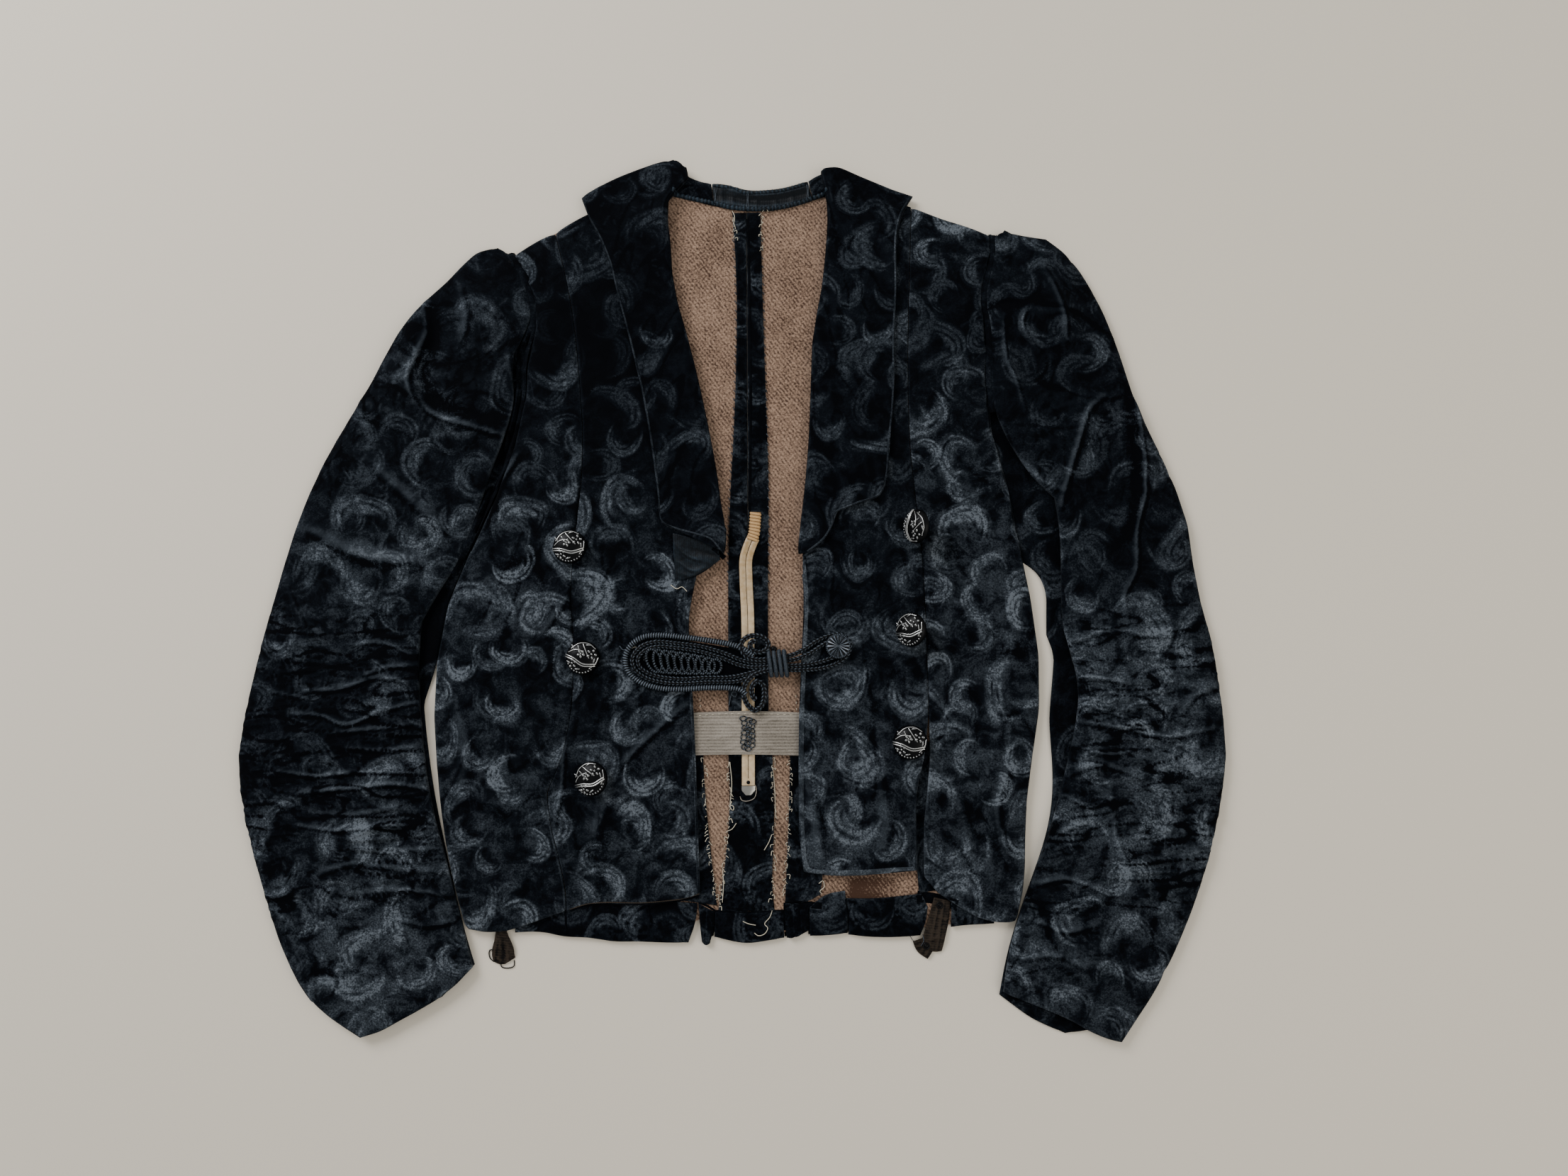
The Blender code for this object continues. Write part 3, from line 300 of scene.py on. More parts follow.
plainFinishes = {
    # darkest, lightest, metallic, roughness, grain a millimetre
    # Filaments and file marks are far finer, and are drawn as soft grain that just shows
    # Black plait with a painted grey highlight on the crowns of its strands and painted shade in its valleys
    "silkCord": ("#010102", "#a7b1bc", 0.0, 0.4, 1.4),
    # Sewing silk, with a painted highlight broken up by a finer twist
    "silkThread": ("#020202", "#a2a8b0", 0.0, 0.4, 2.2),
    # Pale dull cotton that stands out against all the rest
    "creamThread": ("#8d8570", "#e4dcc6", 0.0, 0.7, 2.0),
    # Honey brown winding of waxed thread, painted lighter on the ridges of its turns
    "waxedThread": ("#6b4d2e", "#d2ab78", 0.0, 0.6, 1.0),
    # Smooth cream bone, yellower at its upper end
    "horn": ("#a98a5c", "#f3e2c2", 0.0, 0.38, 0.25),
    # Grey metal lace on the buttons that glints at each edge
    "gunmetal": ("#5c5f61", "#d2d3d0", 1.0, 0.3, 0.5),
    # Black domes beneath that lace, and hooks, studs and eyelet
    "blackenedSteel": ("#020203", "#0b0c0e", 0.0, 0.35, 0.6),
    # Warm grey metal of the bone's tip, dulled by age
    "nickelSilver": ("#8f8d86", "#cfccc4", 1.0, 0.3, 0.8),
}


def makePlain(name):
    # Two shades of one stuff, in grain that runs with its making
    dark, light, metallic, roughness, grain = plainFinishes[name]
    material, add, shader = newMaterial(name)
    where = millimetres(add)
    patches = add("TexNoise", {"Vector": where, "Scale": grain, "Detail": 4.0, "Roughness": 0.6})["Fac"]
    # The crest attribute paints light on the tops and crowns of cords, threads, wire and lace and shade on
    # their sides and valleys; on the bone it carries the yellowing of its upper end
    crest = add("Attribute", attribute_name="crest")["Fac"]
    raised = add("Math", [crest, 0.6, patches], operation="MULTIPLY_ADD")[0]
    silk = name.startswith("silk")  # only the crowns of silk strands catch the light
    low, high = (0.5, 1.35) if silk else (0.1, 1.15)
    between = ((0.32, "#20262c"), (0.7, "#646e78")) if silk else ()
    colour = ramp(add, add("MapRange", [raised, low, high])[0], (0.0, dark), *between, (1.0, light))
    uneven = add("MapRange", [patches, 0.3, 0.7, roughness + 0.1, roughness - 0.06])[0]
    bump = add("Bump", {"Height": patches, "Distance": 0.0001, "Strength": 0.5})["Normal"]
    wire(shader, {"Base Color": colour, "Normal": bump, "Roughness": uneven, "Metallic": metallic,
                  "Specular IOR Level": 0.5 if metallic or name == "horn" else 0.12})
    return material


cordSilk, thread, creamThread, waxed, horn, gunmetal, steel, nickel = map(makePlain, plainFinishes)
print("materials made")

# Creases, each a line in the plan with its height and its half width
# A height below zero is a groove; each crease also carries painted light and shade

leftSleeveCreases = [
    ([(-251, 247), (-248.5, 224), (-255, 206), (-261.5, 184), (-257, 169), (-248, 156), (-233, 148),
      (-214, 143), (-186, 135)], 3.0, 3.2),
    ([(-246, 240), (-243, 215), (-249, 188), (-243, 168), (-225, 156), (-200, 149)], -2.2, 5.0),
    ([(-181, 206), (-180, 191), (-173, 176), (-179, 146), (-186, 124), (-195, 104)], 1.4, 3.0),
    ([(-300, 205), (-306, 175), (-296, 150)], 1.6, 6.0),
    ([(-222, 262), (-216, 236), (-222, 214)], 1.4, 5.0),
    ([(-345, 60), (-300, 38), (-252, 33)], 2.0, 7.0),
    ([(-300, 118), (-268, 88), (-236, 62)], 1.8, 7.0),
    ([(-357, 14), (-340, -18), (-322, -32)], 1.3, 3.0),
    ([(-303, -36), (-280, -34), (-255, -44)], 1.7, 2.2),
    ([(-298, -62), (-276, -54), (-252, -52)], 1.5, 2.2),
    ([(-370, -72), (-345, -77), (-330, -79)], 1.2, 1.8),
    ([(-342, -72), (-310, -70), (-284, -62), (-258, -66)], 1.8, 2.4),
    ([(-352, -90), (-326, -92), (-306, -99), (-276, -88), (-252, -82)], 2.0, 2.2),
    ([(-320, -106), (-290, -103), (-256, -100)], 1.4, 2.2),
    ([(-300, -118), (-276, -120), (-250, -117)], 1.6, 2.2),
    ([(-362, -135), (-330, -139), (-290, -136), (-246, -138)], 2.2, 2.2),
    ([(-342, -152), (-300, -149), (-268, -146), (-240, -150)], 2.0, 2.4),
    ([(-330, -168), (-300, -170), (-262, -163)], 1.3, 2.4),
    ([(-344, -178), (-310, -182), (-270, -178), (-236, -180)], 2.1, 2.0),
    ([(-300, -196), (-270, -199), (-232, -196)], 1.5, 2.4),
    ([(-326, -216), (-300, -208), (-262, -212), (-228, -214)], 1.3, 3.0),
    ([(-300, -232), (-262, -228), (-226, -232)], 1.6, 2.4),
    ([(-262, -250), (-240, -256), (-216, -252)], 1.2, 2.6),
]
rightSleeveCreases = [
    ([(258, 272), (267, 253), (274, 228), (275, 208)], 2.6, 3.0),
    ([(242, 235), (240, 222), (248, 208), (254, 201)], 2.0, 2.6),
    ([(210, 238), (226, 240), (242, 238)], -2.2, 3.0),
    ([(225, 230), (226, 195), (233, 178), (241, 151)], 2.2, 2.2),
    ([(211, 230), (214, 205), (210, 180)], 1.6, 2.4),
    ([(304, 162), (292, 151), (281, 120), (273, 95), (267, 72)], 2.6, 3.0),
    ([(329, 178), (334, 128), (335.6, 105), (334, 80), (327, 53), (325, 20), (315, -2), (317, -18)], 2.6, 2.6),
    ([(324, 170), (328, 128), (329, 100), (326, 70), (319, 45)], -2.0, 5.0),
    ([(222, 140), (232, 112), (252, 92), (270, 84)], 1.4, 3.2),
    ([(272, -38), (300, -28), (330, -32), (362, -28)], 1.4, 3.4),
    ([(268, -64), (290, -66), (316, -70)], 1.7, 2.2),
    ([(272, -84), (296, -92), (314, -98)], 1.6, 2.0),
    ([(275, -100), (300, -104), (345, -112), (384, -106)], 1.9, 2.6),
    ([(276, -122), (300, -126), (318, -122)], 1.4, 2.4),
    ([(268, -140), (290, -134), (318, -142)], 1.4, 3.0),
    ([(262, -158), (282, -166), (300, -160)], 1.7, 2.4),
    ([(258, -186), (280, -180), (304, -196)], 1.5, 2.6),
    ([(298, -150), (306, -200), (322, -232)], 1.4, 4.0),
    ([(238, -226), (262, -222), (290, -232)], 1.5, 2.8),
    ([(232, -252), (262, -262), (286, -256)], 1.3, 2.8),
    ([(224, -284), (250, -280), (275, -290)], 1.2, 3.0),
    ([(355, -96), (368, -80), (384, -74)], 1.2, 3.0),
]
frontCreases = [
    ([(-119, 118), (-124, 62), (-129, 20), (-127, -10), (-125, -75), (-131, -110)], -1.0, 1.4),
    ([(-131, -110), (-133, -150), (-138, -175), (-137, -190)], 1.5, 2.2),
    ([(-35, -85), (-60, -106), (-91, -136)], 1.6, 3.0),
    ([(-200, 60), (-188, 92), (-172, 120)], 1.8, 3.0),
    ([(-151, -26), (-140, -12), (-132, 2)], 1.2, 3.0),
    ([(148, 110), (153, 60), (156.5, 20), (158, -40), (158.5, -90)], -1.0, 1.4),
    ([(157, -78), (174, -98), (192, -122)], 2.0, 3.0),
    ([(62, -140), (68, -170), (72, -212)], 1.3, 6.0),
    ([(-95, -150), (-104, -178), (-101, -206)], 1.0, 6.0),
    ([(218, -205), (211, -165), (222, -130)], 1.2, 4.0),
    ([(-224, -60), (-210, -110), (-214, -160)], 1.0, 7.0),
    ([(118, -140), (124, -172), (120, -204)], 1.0, 6.0),
]


def smoothLine(points, count):
    # Points evenly along a curve through the given ones
    points = np.array(points, float)
    knots = np.append(0, np.cumsum(np.sqrt(np.linalg.norm(np.diff(points, axis=0), axis=1))))
    slopes = np.gradient(points, knots, axis=0)
    at = np.linspace(0, knots[-1], max(6, 12 * len(points)))
    k = np.clip(np.searchsorted(knots, at, side="right") - 1, 0, len(points) - 2)
    span = (knots[k + 1] - knots[k])[:, None]
    s = (at - knots[k])[:, None] / span
    dense = ((2 * s**3 - 3 * s**2 + 1) * points[k] + (s**3 - 2 * s**2 + s) * span * slopes[k]
             + (3 * s**2 - 2 * s**3) * points[k + 1] + (s**3 - s**2) * span * slopes[k + 1])
    run = np.append(0, np.cumsum(np.linalg.norm(np.diff(dense, axis=0), axis=1)))
    steps = np.linspace(0, run[-1], count)
    return np.stack([np.interp(steps, run, column) for column in dense.T], axis=1)


def lengthOf(points):
    return np.linalg.norm(np.diff(np.array(points, float), axis=0), axis=1).sum()


def evenLine(points, step, least, fine=200):
    return smoothLine(points, max(least, int(lengthOf(smoothLine(points, fine)) / step)))


def sideOf(line):
    # Direction across a plan line at each of its points
    along = np.gradient(line, axis=0)
    along /= np.linalg.norm(along, axis=1)[:, None]
    return np.column_stack([-along[:, 1], along[:, 0]])


creaseReach = 4  # how far a crease is felt, in its own widths
shadeSide = np.array([0.6, -0.9])  # from a crease to its shaded side, in its own widths


def creaseHeight(plan, creases):
    # Height of the creases at each plan point, and the light and shade painted on them: light along a crest,
    # shade along a groove and a shadow on the shaded side of a ridge
    height = np.zeros(len(plan))
    crest = np.zeros(len(plan))
    for points, rise, width in creases:
        count = 12 + int(lengthOf(points) / (0.6 * width))
        line = smoothLine(points, count)
        low = line.min(0) - creaseReach * width
        high = line.max(0) + creaseReach * width
        near = np.nonzero(np.all((plan > low) & (plan < high), axis=1))[0]
        if not len(near):
            continue
        gap = np.linalg.norm(plan[near, None] - line[None], axis=2)
        shade = np.linalg.norm(plan[near, None] - shadeSide * width - line[None], axis=2).min(1) / width
        nearest = gap.argmin(1)
        fade = np.sin(np.linspace(0.06, 0.94, count) * math.pi)[nearest] ** 0.6
        gap = gap.min(1) / width
        height[near] += rise * fade * np.exp(-np.sqrt(gap**2 + 0.09) + 0.3)
        crest[near] += math.copysign(1, rise) * fade * np.exp(-((gap * 1.1) ** 2)) * min(1, abs(rise) / 2)
        # Painted shadow on the shaded side of each ridge
        if rise > 0:
            crest[near] -= 1.2 * fade * np.exp(-((shade * 1.9) ** 2)) * min(1, rise / 2)
    return height, crest


def ripples(plan, along, across, turn, seed):
    # Noise drawn out along the direction turn, in degrees
    c = math.cos(math.radians(turn))
    s = math.sin(math.radians(turn))
    u = (plan[:, 0] * c + plan[:, 1] * s) / along
    v = (plan[:, 1] * c - plan[:, 0] * s) / across
    return np.array([noise.noise((a, b, seed)) for a, b in zip(u, v)])


def fineMesh(node, step):
    # The node's wall cut into small even triangles above, and coarser ones beneath
    bm = bmesh.new()
    bm.from_mesh(nodes[node].data)
    bmesh.ops.remove_doubles(bm, verts=bm.verts, dist=1e-5)
    limit = 48.0
    while limit > step * 0.9:
        target = max(limit, step * 1.35) * mm
        coarse = max(target, 9 * mm)
        bm.normal_update()
        long = [e for e in bm.edges
                if e.calc_length() > (target if max(f.normal.z for f in e.link_faces) > 0.2 else coarse)]
        if long:
            bmesh.ops.subdivide_edges(bm, edges=long, cuts=1)
            bmesh.ops.triangulate(bm, faces=[f for f in bm.faces if len(f.verts) > 3])
            soft = [e for e in bm.edges if e.calc_face_angle(0) < 0.45]
            bmesh.ops.beautify_fill(bm, faces=bm.faces, edges=soft, method="AREA")
        limit /= 1.5
    return bm


def relax(bm, rounds):
    # Evens out the facets: points on a rim slide along it, the rest settle between their neighbours
    bm.verts.index_update()
    points = np.array([v.co for v in bm.verts])
    rim = [e for e in bm.edges if e.calc_face_angle(0) > 0.7]  # folds of more than 40 degrees
    onRim = np.zeros(len(points), bool)
    for e in rim:
        onRim[e.verts[0].index] = True
        onRim[e.verts[1].index] = True
    pairs = np.array([(e.verts[0].index, e.verts[1].index) for e in bm.edges
                      if not onRim[e.verts[0].index] and not onRim[e.verts[1].index]]
                     + [(e.verts[0].index, e.verts[1].index) for e in rim])
    mixed = [(e.verts[0].index, e.verts[1].index) for e in bm.edges
             if onRim[e.verts[0].index] != onRim[e.verts[1].index]]
    inner = np.array([(a, b) if onRim[a] else (b, a) for a, b in mixed])  # rim first
    count = len(points)
    for _ in range(rounds):
        total = np.zeros((count, 3))
        number = np.zeros(count)
        for a, b in ((0, 1), (1, 0)):
            number += np.bincount(pairs[:, a], minlength=count)
            for axis in range(3):
                total[:, axis] += np.bincount(pairs[:, a], points[pairs[:, b], axis], minlength=count)
        number += np.bincount(inner[:, 1], minlength=count)
        for axis in range(3):
            total[:, axis] += np.bincount(inner[:, 1], points[inner[:, 0], axis], minlength=count)
        middle = total / np.maximum(number, 1)[:, None]
        fixed = (number < 2) | (onRim & (np.linalg.norm(middle - points, axis=1) > 1.2 * mm))
        move = np.where(fixed[:, None], 0, middle - points)
        move[onRim] *= 0.3
        points += 0.5 * move
    return points, onRim


def curlCentres(low, high, seed, spacing):
    # Scattered evenly but irregularly, as the woven figure is once the cloth is cut and eased
    dice = random.Random(seed)
    centres = []
    for _ in range(3000):
        x = dice.uniform(low[0], high[0])
        y = dice.uniform(low[1], high[1])
        size = dice.uniform(17, 31)
        if all(math.hypot(x - c[0], y - c[1]) > spacing * (size + c[2]) / 2 for c in centres):
            centres.append((x, y, size, dice.uniform(0, 2 * math.pi), dice.uniform(0.5, 1.0)))
    return np.array(centres)


def paintCurls(mesh, plan, seed, clarity):
    # Each face is given the two nearest curls' own coordinates, so that a stroke stays sharp in it
    faces = len(mesh.polygons)
    corners = np.zeros(len(mesh.loops), int)
    mesh.loops.foreach_get("vertex_index", corners)
    totals = np.zeros(faces, int)
    mesh.polygons.foreach_get("loop_total", totals)
    owner = np.repeat(np.arange(faces), totals)
    middle = np.zeros((faces, 2))
    for axis in range(2):
        middle[:, axis] = np.bincount(owner, plan[corners, axis], minlength=faces) / totals
    for label, spacing, shift in (("curlNear", 1.68, 0), ("curlFar", 1.72, 77)):
        centres = curlCentres(plan.min(0), plan.max(0), seed + shift, spacing)
        gap = np.stack([np.hypot(middle[:, 0] - c[0], middle[:, 1] - c[1]) / c[2] for c in centres], axis=1)
        chosen = centres[gap.argmin(1)][owner]
        offset = (plan[corners] - chosen[:, :2]) / chosen[:, 2:3]
        c = np.cos(chosen[:, 3])
        s = np.sin(chosen[:, 3])
        hand = np.where(chosen[:, 4] * 1000 % 2 < 1, 1, -1)
        local = np.stack([offset[:, 0] * c + offset[:, 1] * s, hand * (offset[:, 1] * c - offset[:, 0] * s),
                          chosen[:, 4] * clarity * (1.0 if shift == 0 else 0.7)], axis=1)
        layer = mesh.attributes.new(label, "FLOAT_VECTOR", "CORNER")
        layer.data.foreach_set("vector", local.astype(np.float32).ravel())


def setFloats(mesh, label, values):
    layer = mesh.attributes.new(label, "FLOAT", "POINT")
    layer.data.foreach_set("value", np.broadcast_to(values, len(mesh.vertices)).astype(np.float32))


def toneAt(plan, base, patches):
    # Light and dark areas of the pile, each patch a middle, a radius and how much it adds
    total = np.full(len(plan), float(base))
    for x, y, radius, amount in patches:
        total += amount * np.exp(-((plan[:, 0] - x) ** 2 + (plan[:, 1] - y) ** 2) / radius**2)
    return total


def planOf(points):
    return points[:, :2] / mm + planMiddle


def dressPanel(name, node, step, creases, material, slot, seed, tone, patches=(), crumple=(), folded=3.0,
               clarity=1.0):
    # Fine cloth in place of a node's wall, with its creases, painted light and shade on them, figure and wear
    bm = fineMesh(node, step)
    points, onRim = relax(bm, 24)
    plan = planOf(points)
    height, crest = creaseHeight(plan, creases)
    for along, across, turn, amount, low, high in crumple:
        # Small folds fade in and out between two heights of the plan
        band = np.clip((plan[:, 1] - low) / 30, 0, 1) * np.clip((high - plan[:, 1]) / 30, 0, 1)
        ridges = ripples(plan, along, across, turn, seed + across)
        ridges = (1 - np.abs(ridges) * 3.2).clip(-0.2, 1)
        patchy = (ripples(plan, 60, 45, turn, seed + 9) + 0.45).clip(0, 1)
        height += amount * band * ridges * patchy
        # Painted highlight on the ridges of the small folds, and painted shade in thin furrows between them
        crest += 0.42 * band * patchy * (ridges - 0.45).clip(0, 1)
        furrows = ripples(plan, along * 1.2, across * 1.3, turn, seed + 3 * across)
        crest -= amount * 1.1 * band * patchy * (1 - np.abs(furrows) * 11).clip(0, 1)
    height += 0.35 * ripples(plan, 30, 22, 0, seed + 1) + 0.14 * ripples(plan, 9, 7, 0, seed + 2)
    lifted = ((points[:, 2] / mm - 1.2) / folded).clip(0, 1)
    points[:, 2] += height * lifted * mm
    for vert, point in zip(bm.verts, points):
        vert.co = point
    mesh = bpy.data.meshes.new(name)
    bm.to_mesh(mesh)
    bm.free()
    mesh.shade_smooth()
    mesh.set_sharp_from_angle(angle=math.radians(60))
    # Rolled rims painted a little lighter, as edges that catch the light
    setFloats(mesh, "crest", crest + 0.25 * onRim)
    setFloats(mesh, "tone", toneAt(plan, tone, patches))
    paintCurls(mesh, plan, seed, clarity)
    return place(addObject(name, mesh), material, slot, node)


def surfaceUnder(pieces):
    # Height of the topmost of some pieces over a plan point
    trees = []
    for piece in pieces:
        mesh = piece.data
        co = np.zeros(len(mesh.vertices) * 3)
        mesh.vertices.foreach_get("co", co)
        trees.append(BVHTree.FromPolygons([Vector(v) for v in co.reshape(-1, 3)],
                                          [tuple(p.vertices) for p in mesh.polygons]))

    def heightAt(x, y):
        start = toRow(x, y, 60)
        hits = [tree.ray_cast(start, Vector((0, 0, -1)))[0] for tree in trees]
        return max([hit.z / mm for hit in hits if hit] or [0.0])

    return heightAt


sleevePuff = [(55, 26, 0, 0.5, 120, 260), (16, 8, 70, 0.4, 60, 250)]
elbow = [(38, 6.5, 0, 2.0, -260, 0), (22, 4.5, 4, 0.9, -230, -20), (30, 14, 20, 0.8, -330, -200)]

panels = {
    # patches shift the tone, crumple holds small folds, clarity is how plainly the figure shows
    "velvet_front_left": {
        "node": "front_left", "step": 2.2, "creases": frontCreases, "seed": 11, "tone": 0.57, "clarity": 1.1,
        "patches": [(-112, 215, 60, -0.8), (-95, 130, 45, -0.3), (-80, -20, 50, 0.2), (-70, -110, 40, 0.2),
                    (-90, -200, 50, 0.15), (-50, -192, 42, 0.4)],
        "crumple": [(60, 16, 80, 0.5, -240, 60)], "cut": (0.115, 0.59), "area": 0.0561, "over": "back_left"},
    "velvet_front_right": {
        "node": "front_right", "step": 2.2, "creases": frontCreases, "seed": 12, "tone": 0.56,
        "patches": [(110, 150, 50, -0.4), (105, -90, 50, 0.25), (95, -155, 48, 0.4), (62, -201, 12, 0.9),
                    (96, -206, 26, 0.25), (72, -120, 22, 0.15)],
        "crumple": [(60, 16, 95, 0.5, -220, 60)], "cut": (0.1, 0.57), "area": 0.0470, "over": "back_right"},
    "velvet_side_front_left": {
        "node": "side_front_left", "step": 2.2, "creases": frontCreases, "seed": 13, "tone": 0.62,
        "clarity": 1.05,
        "patches": [(-150, 225, 60, -0.7), (-165, 120, 40, -0.2), (-190, 0, 45, 0.25), (-190, -150, 50, 0.3)],
        "crumple": [(50, 18, 60, 0.5, -250, 120)], "cut": (0.13, 0.56), "area": 0.0456, "over": "back_left"},
    "velvet_side_front_right": {
        "node": "side_front_right", "step": 2.2, "creases": frontCreases, "seed": 14, "tone": 0.78,
        "clarity": 1.1,
        "patches": [(180, 225, 60, -0.6), (200, 20, 45, 0.2), (200, -150, 50, 0.3)],
        "crumple": [(50, 18, 110, 0.5, -250, 120)], "cut": (0.13, 0.56), "area": 0.046, "over": "back_right"},
    "velvet_sleeve_left": {
        "node": "upper_sleeve_left", "step": 2.0, "creases": leftSleeveCreases, "seed": 15, "tone": 0.57,
        "clarity": 0.8,
        "patches": [(-205, 270, 45, -0.3), (-215, 190, 35, -0.3), (-270, 30, 45, 0.5), (-300, -30, 50, 0.1),
                    (-350, -95, 50, -0.45), (-270, -170, 50, 0.45), (-270, -290, 60, 0.7),
                    (-330, -270, 50, 0.4), (-330, 90, 40, -0.1), (-270, 95, 30, -0.3)],
        "crumple": sleevePuff + elbow, "cut": (0.20, 0.66), "area": 0.0912, "over": "under_sleeve_left"},
    "velvet_sleeve_right": {
        "node": "upper_sleeve_right", "step": 2.0, "creases": rightSleeveCreases, "seed": 16, "tone": 0.62,
        "clarity": 0.8,
        "patches": [(240, 190, 60, -0.45), (275, 250, 40, -0.3), (300, 80, 50, -0.25), (350, 20, 30, -0.2),
                    (330, -60, 50, 0.6), (300, -60, 30, 0.4), (365, -110, 40, 0.5), (300, -200, 50, 0.3),
                    (335, -220, 50, 0.4), (235, -300, 35, 0.5), (280, -330, 40, 0.2), (340, -150, 40, 0.5)],
        "crumple": sleevePuff + elbow, "cut": (0.19, 0.66), "area": 0.0814, "over": "under_sleeve_right"},
    "velvet_revers_left": {
        "node": "revers_left", "step": 1.9, "creases": [], "seed": 17, "tone": 0.24,
        "patches": [(-80, 330, 40, -0.2)],
        "crumple": [(40, 12, 70, 0.5, 60, 360)], "cut": (0.085, 0.34), "area": 0.0175, "over": "front_left"},
    "velvet_revers_right": {
        "node": "revers_right", "step": 1.9, "creases": [], "seed": 18, "tone": 0.28,
        "patches": [(120, 300, 40, 0.05), (100, 180, 40, 0.1)],
        "crumple": [(40, 12, 110, 0.5, 40, 360)], "cut": (0.09, 0.33), "area": 0.0196, "over": "front_right"},
}
dressed = {}
for name, panel in panels.items():
    step = panel["step"] * 1
    piece = dressPanel(name, panel["node"], step, panel["creases"], velvet, "velvet", panel["seed"],
                       panel["tone"], panel["patches"], panel["crumple"], clarity=panel.get("clarity", 1.0))
    dressed[name] = piece
    print("cut and laid", name, len(piece.data.polygons))

lining = (twill, "twill")
neckSatin = (satin, "satin")
turned = (velvetReverse, "velvet")
underside = (velvetReverse, "velvet_underside")
innerPanels = {
    # node, grid, cloth and slot, cut, area, what it lies on
    "lining_back_left": ("back_left", 5, lining, (0.24, 0.62), 0.1233, "floor"),
    "lining_back_right": ("back_right", 5, lining, (0.24, 0.62), 0.1203, "floor"),
    "under_sleeve_velvet_left": ("under_sleeve_left", 5, underside, (0.17, 0.64), 0.0696, "floor"),
    "under_sleeve_velvet_right": ("under_sleeve_right", 4, underside, (0.16, 0.64), 0.0636, "floor"),
    "back_turning_left": ("seam_turning_left", 2.5, underside, (0.017, 0.42), 0.0052, "back_left"),
    "back_turning_right": ("seam_turning_right", 2.5, underside, (0.018, 0.42), 0.0062, "back_right"),
    "skirt_pile_centre": ("skirt_velvet_centre", 2, turned, (0.042, 0.155), 0.0056, "back_left"),
    "skirt_pile_left": ("skirt_velvet_left", 2.5, turned, (0.056, 0.15), 0.0072, "back_left"),
    "skirt_pile_right": ("skirt_velvet_right", 2.5, turned, (0.028, 0.145), 0.0036, "back_right"),
    "hem_turning_left": ("hem_facing_left", 2, turned, (0.1445, 0.0335), 0.0042, "back_left"),
    "hem_turning_centre": ("hem_facing_centre", 2, turned, (0.055, 0.0245), 0.00125, "back_left"),
    "hem_turning_right": ("hem_facing_right", 2, turned, (0.03, 0.035), 0.00092, "back_right"),
    "hem_turning_far": ("hem_facing_far_right", 2, turned, (0.0635, 0.0335), 0.00185, "back_right"),
    "hem_turning_side": ("hem_facing_side", 2, turned, (0.034, 0.0195), 0.00054, "back_right"),
    "slit_turning": ("slit_facing", 2.5, turned, (0.018, 0.118), 0.0019, "back_right"),
    "stand_velvet_left": ("collar_stand_left", 1.5, turned, (0.0375, 0.0315), 0.00072, "back_left"),
    "stand_velvet_right": ("collar_stand_right", 1.5, turned, (0.0255, 0.025), 0.00049, "back_right"),
    "pleat_velvet_left": ("skirt_pleat_left", 1.2, underside, (0.014, 0.033), 0.00036, "back_left"),
    "pleat_velvet_right": ("skirt_pleat_right", 1.2, underside, (0.021, 0.027), 0.0005, "back_right"),
    "satin_neck_band": ("neck_band", 1.5, neckSatin, (0.084, 0.0256), 0.0016, "back_left"),
    "satin_under_revers": ("satin_facing_left", 1.5, neckSatin, (0.035, 0.04), 0.00105, "front_left"),
    "petersham_waist": ("waist_tape", 1.5, (petersham, "tape"), (0.034, 0.135), 0.00457, "bone"),
}
# Creases of the inner cloth: crests painted light and grooves painted dark through the crest attribute
innerCreases = {
    # The hem's strip, sunk a little, with painted shade along its grooves
    "back_right": [
        ([(94, -226), (106, -226), (118, -226), (127, -225)], -2.0, 6.0),
        ([(94, -238), (106, -238), (116, -237), (121, -236)], -2.0, 6.0),
        ([(98, -224), (99, -232), (99, -240)], -1.5, 4.0)],
    "waist_tape": [
        ([(-24, -100), (-6, -99), (6, -103)], 0.7, 1.6),
        ([(-20, -112), (-2, -110), (7, -108)], 0.6, 1.6),
        ([(-10, -121), (2, -119), (8, -115)], 0.6, 1.4),
        ([(24, -101), (34, -97), (50, -98)], 0.7, 1.6),
        ([(23, -108), (36, -108), (52, -111)], 0.6, 1.6),
        ([(22, -116), (32, -119), (44, -121)], 0.6, 1.4)],
    "neck_band": [
        ([(-14, 337), (2, 335.4), (14, 333), (30, 332), (46, 333.4), (70, 339)], -2.0, 2.6),
        ([(-14, 344), (2, 342), (14, 337.6), (30, 336.8), (46, 338.6), (68, 344)], 1.3, 1.5),
        ([(-12, 332), (2, 329.4), (14, 327.6), (30, 327), (46, 328.4), (66, 334)], 1.3, 1.5),
        ([(-6, 343), (-5, 330)], 0.8, 1.0),
        ([(3, 342), (4, 328)], 0.7, 1.0),
        ([(24, 338), (23, 327)], 0.8, 1.0),
        ([(38, 338), (40, 327)], 0.8, 1.0),
        ([(52, 340), (54, 330)], 0.9, 1.2)],
    "satin_facing_left": [
        ([(-44, 44), (-34, 34), (-20, 30)], 1.2, 1.8),
        ([(-42, 30), (-30, 22), (-18, 25)], 1.0, 1.6),
        ([(-40, 20), (-32, 18), (-22, 22)], 0.9, 1.4),
        ([(-30, 40), (-18, 36), (-8, 33)], -1.0, 1.8)],
}
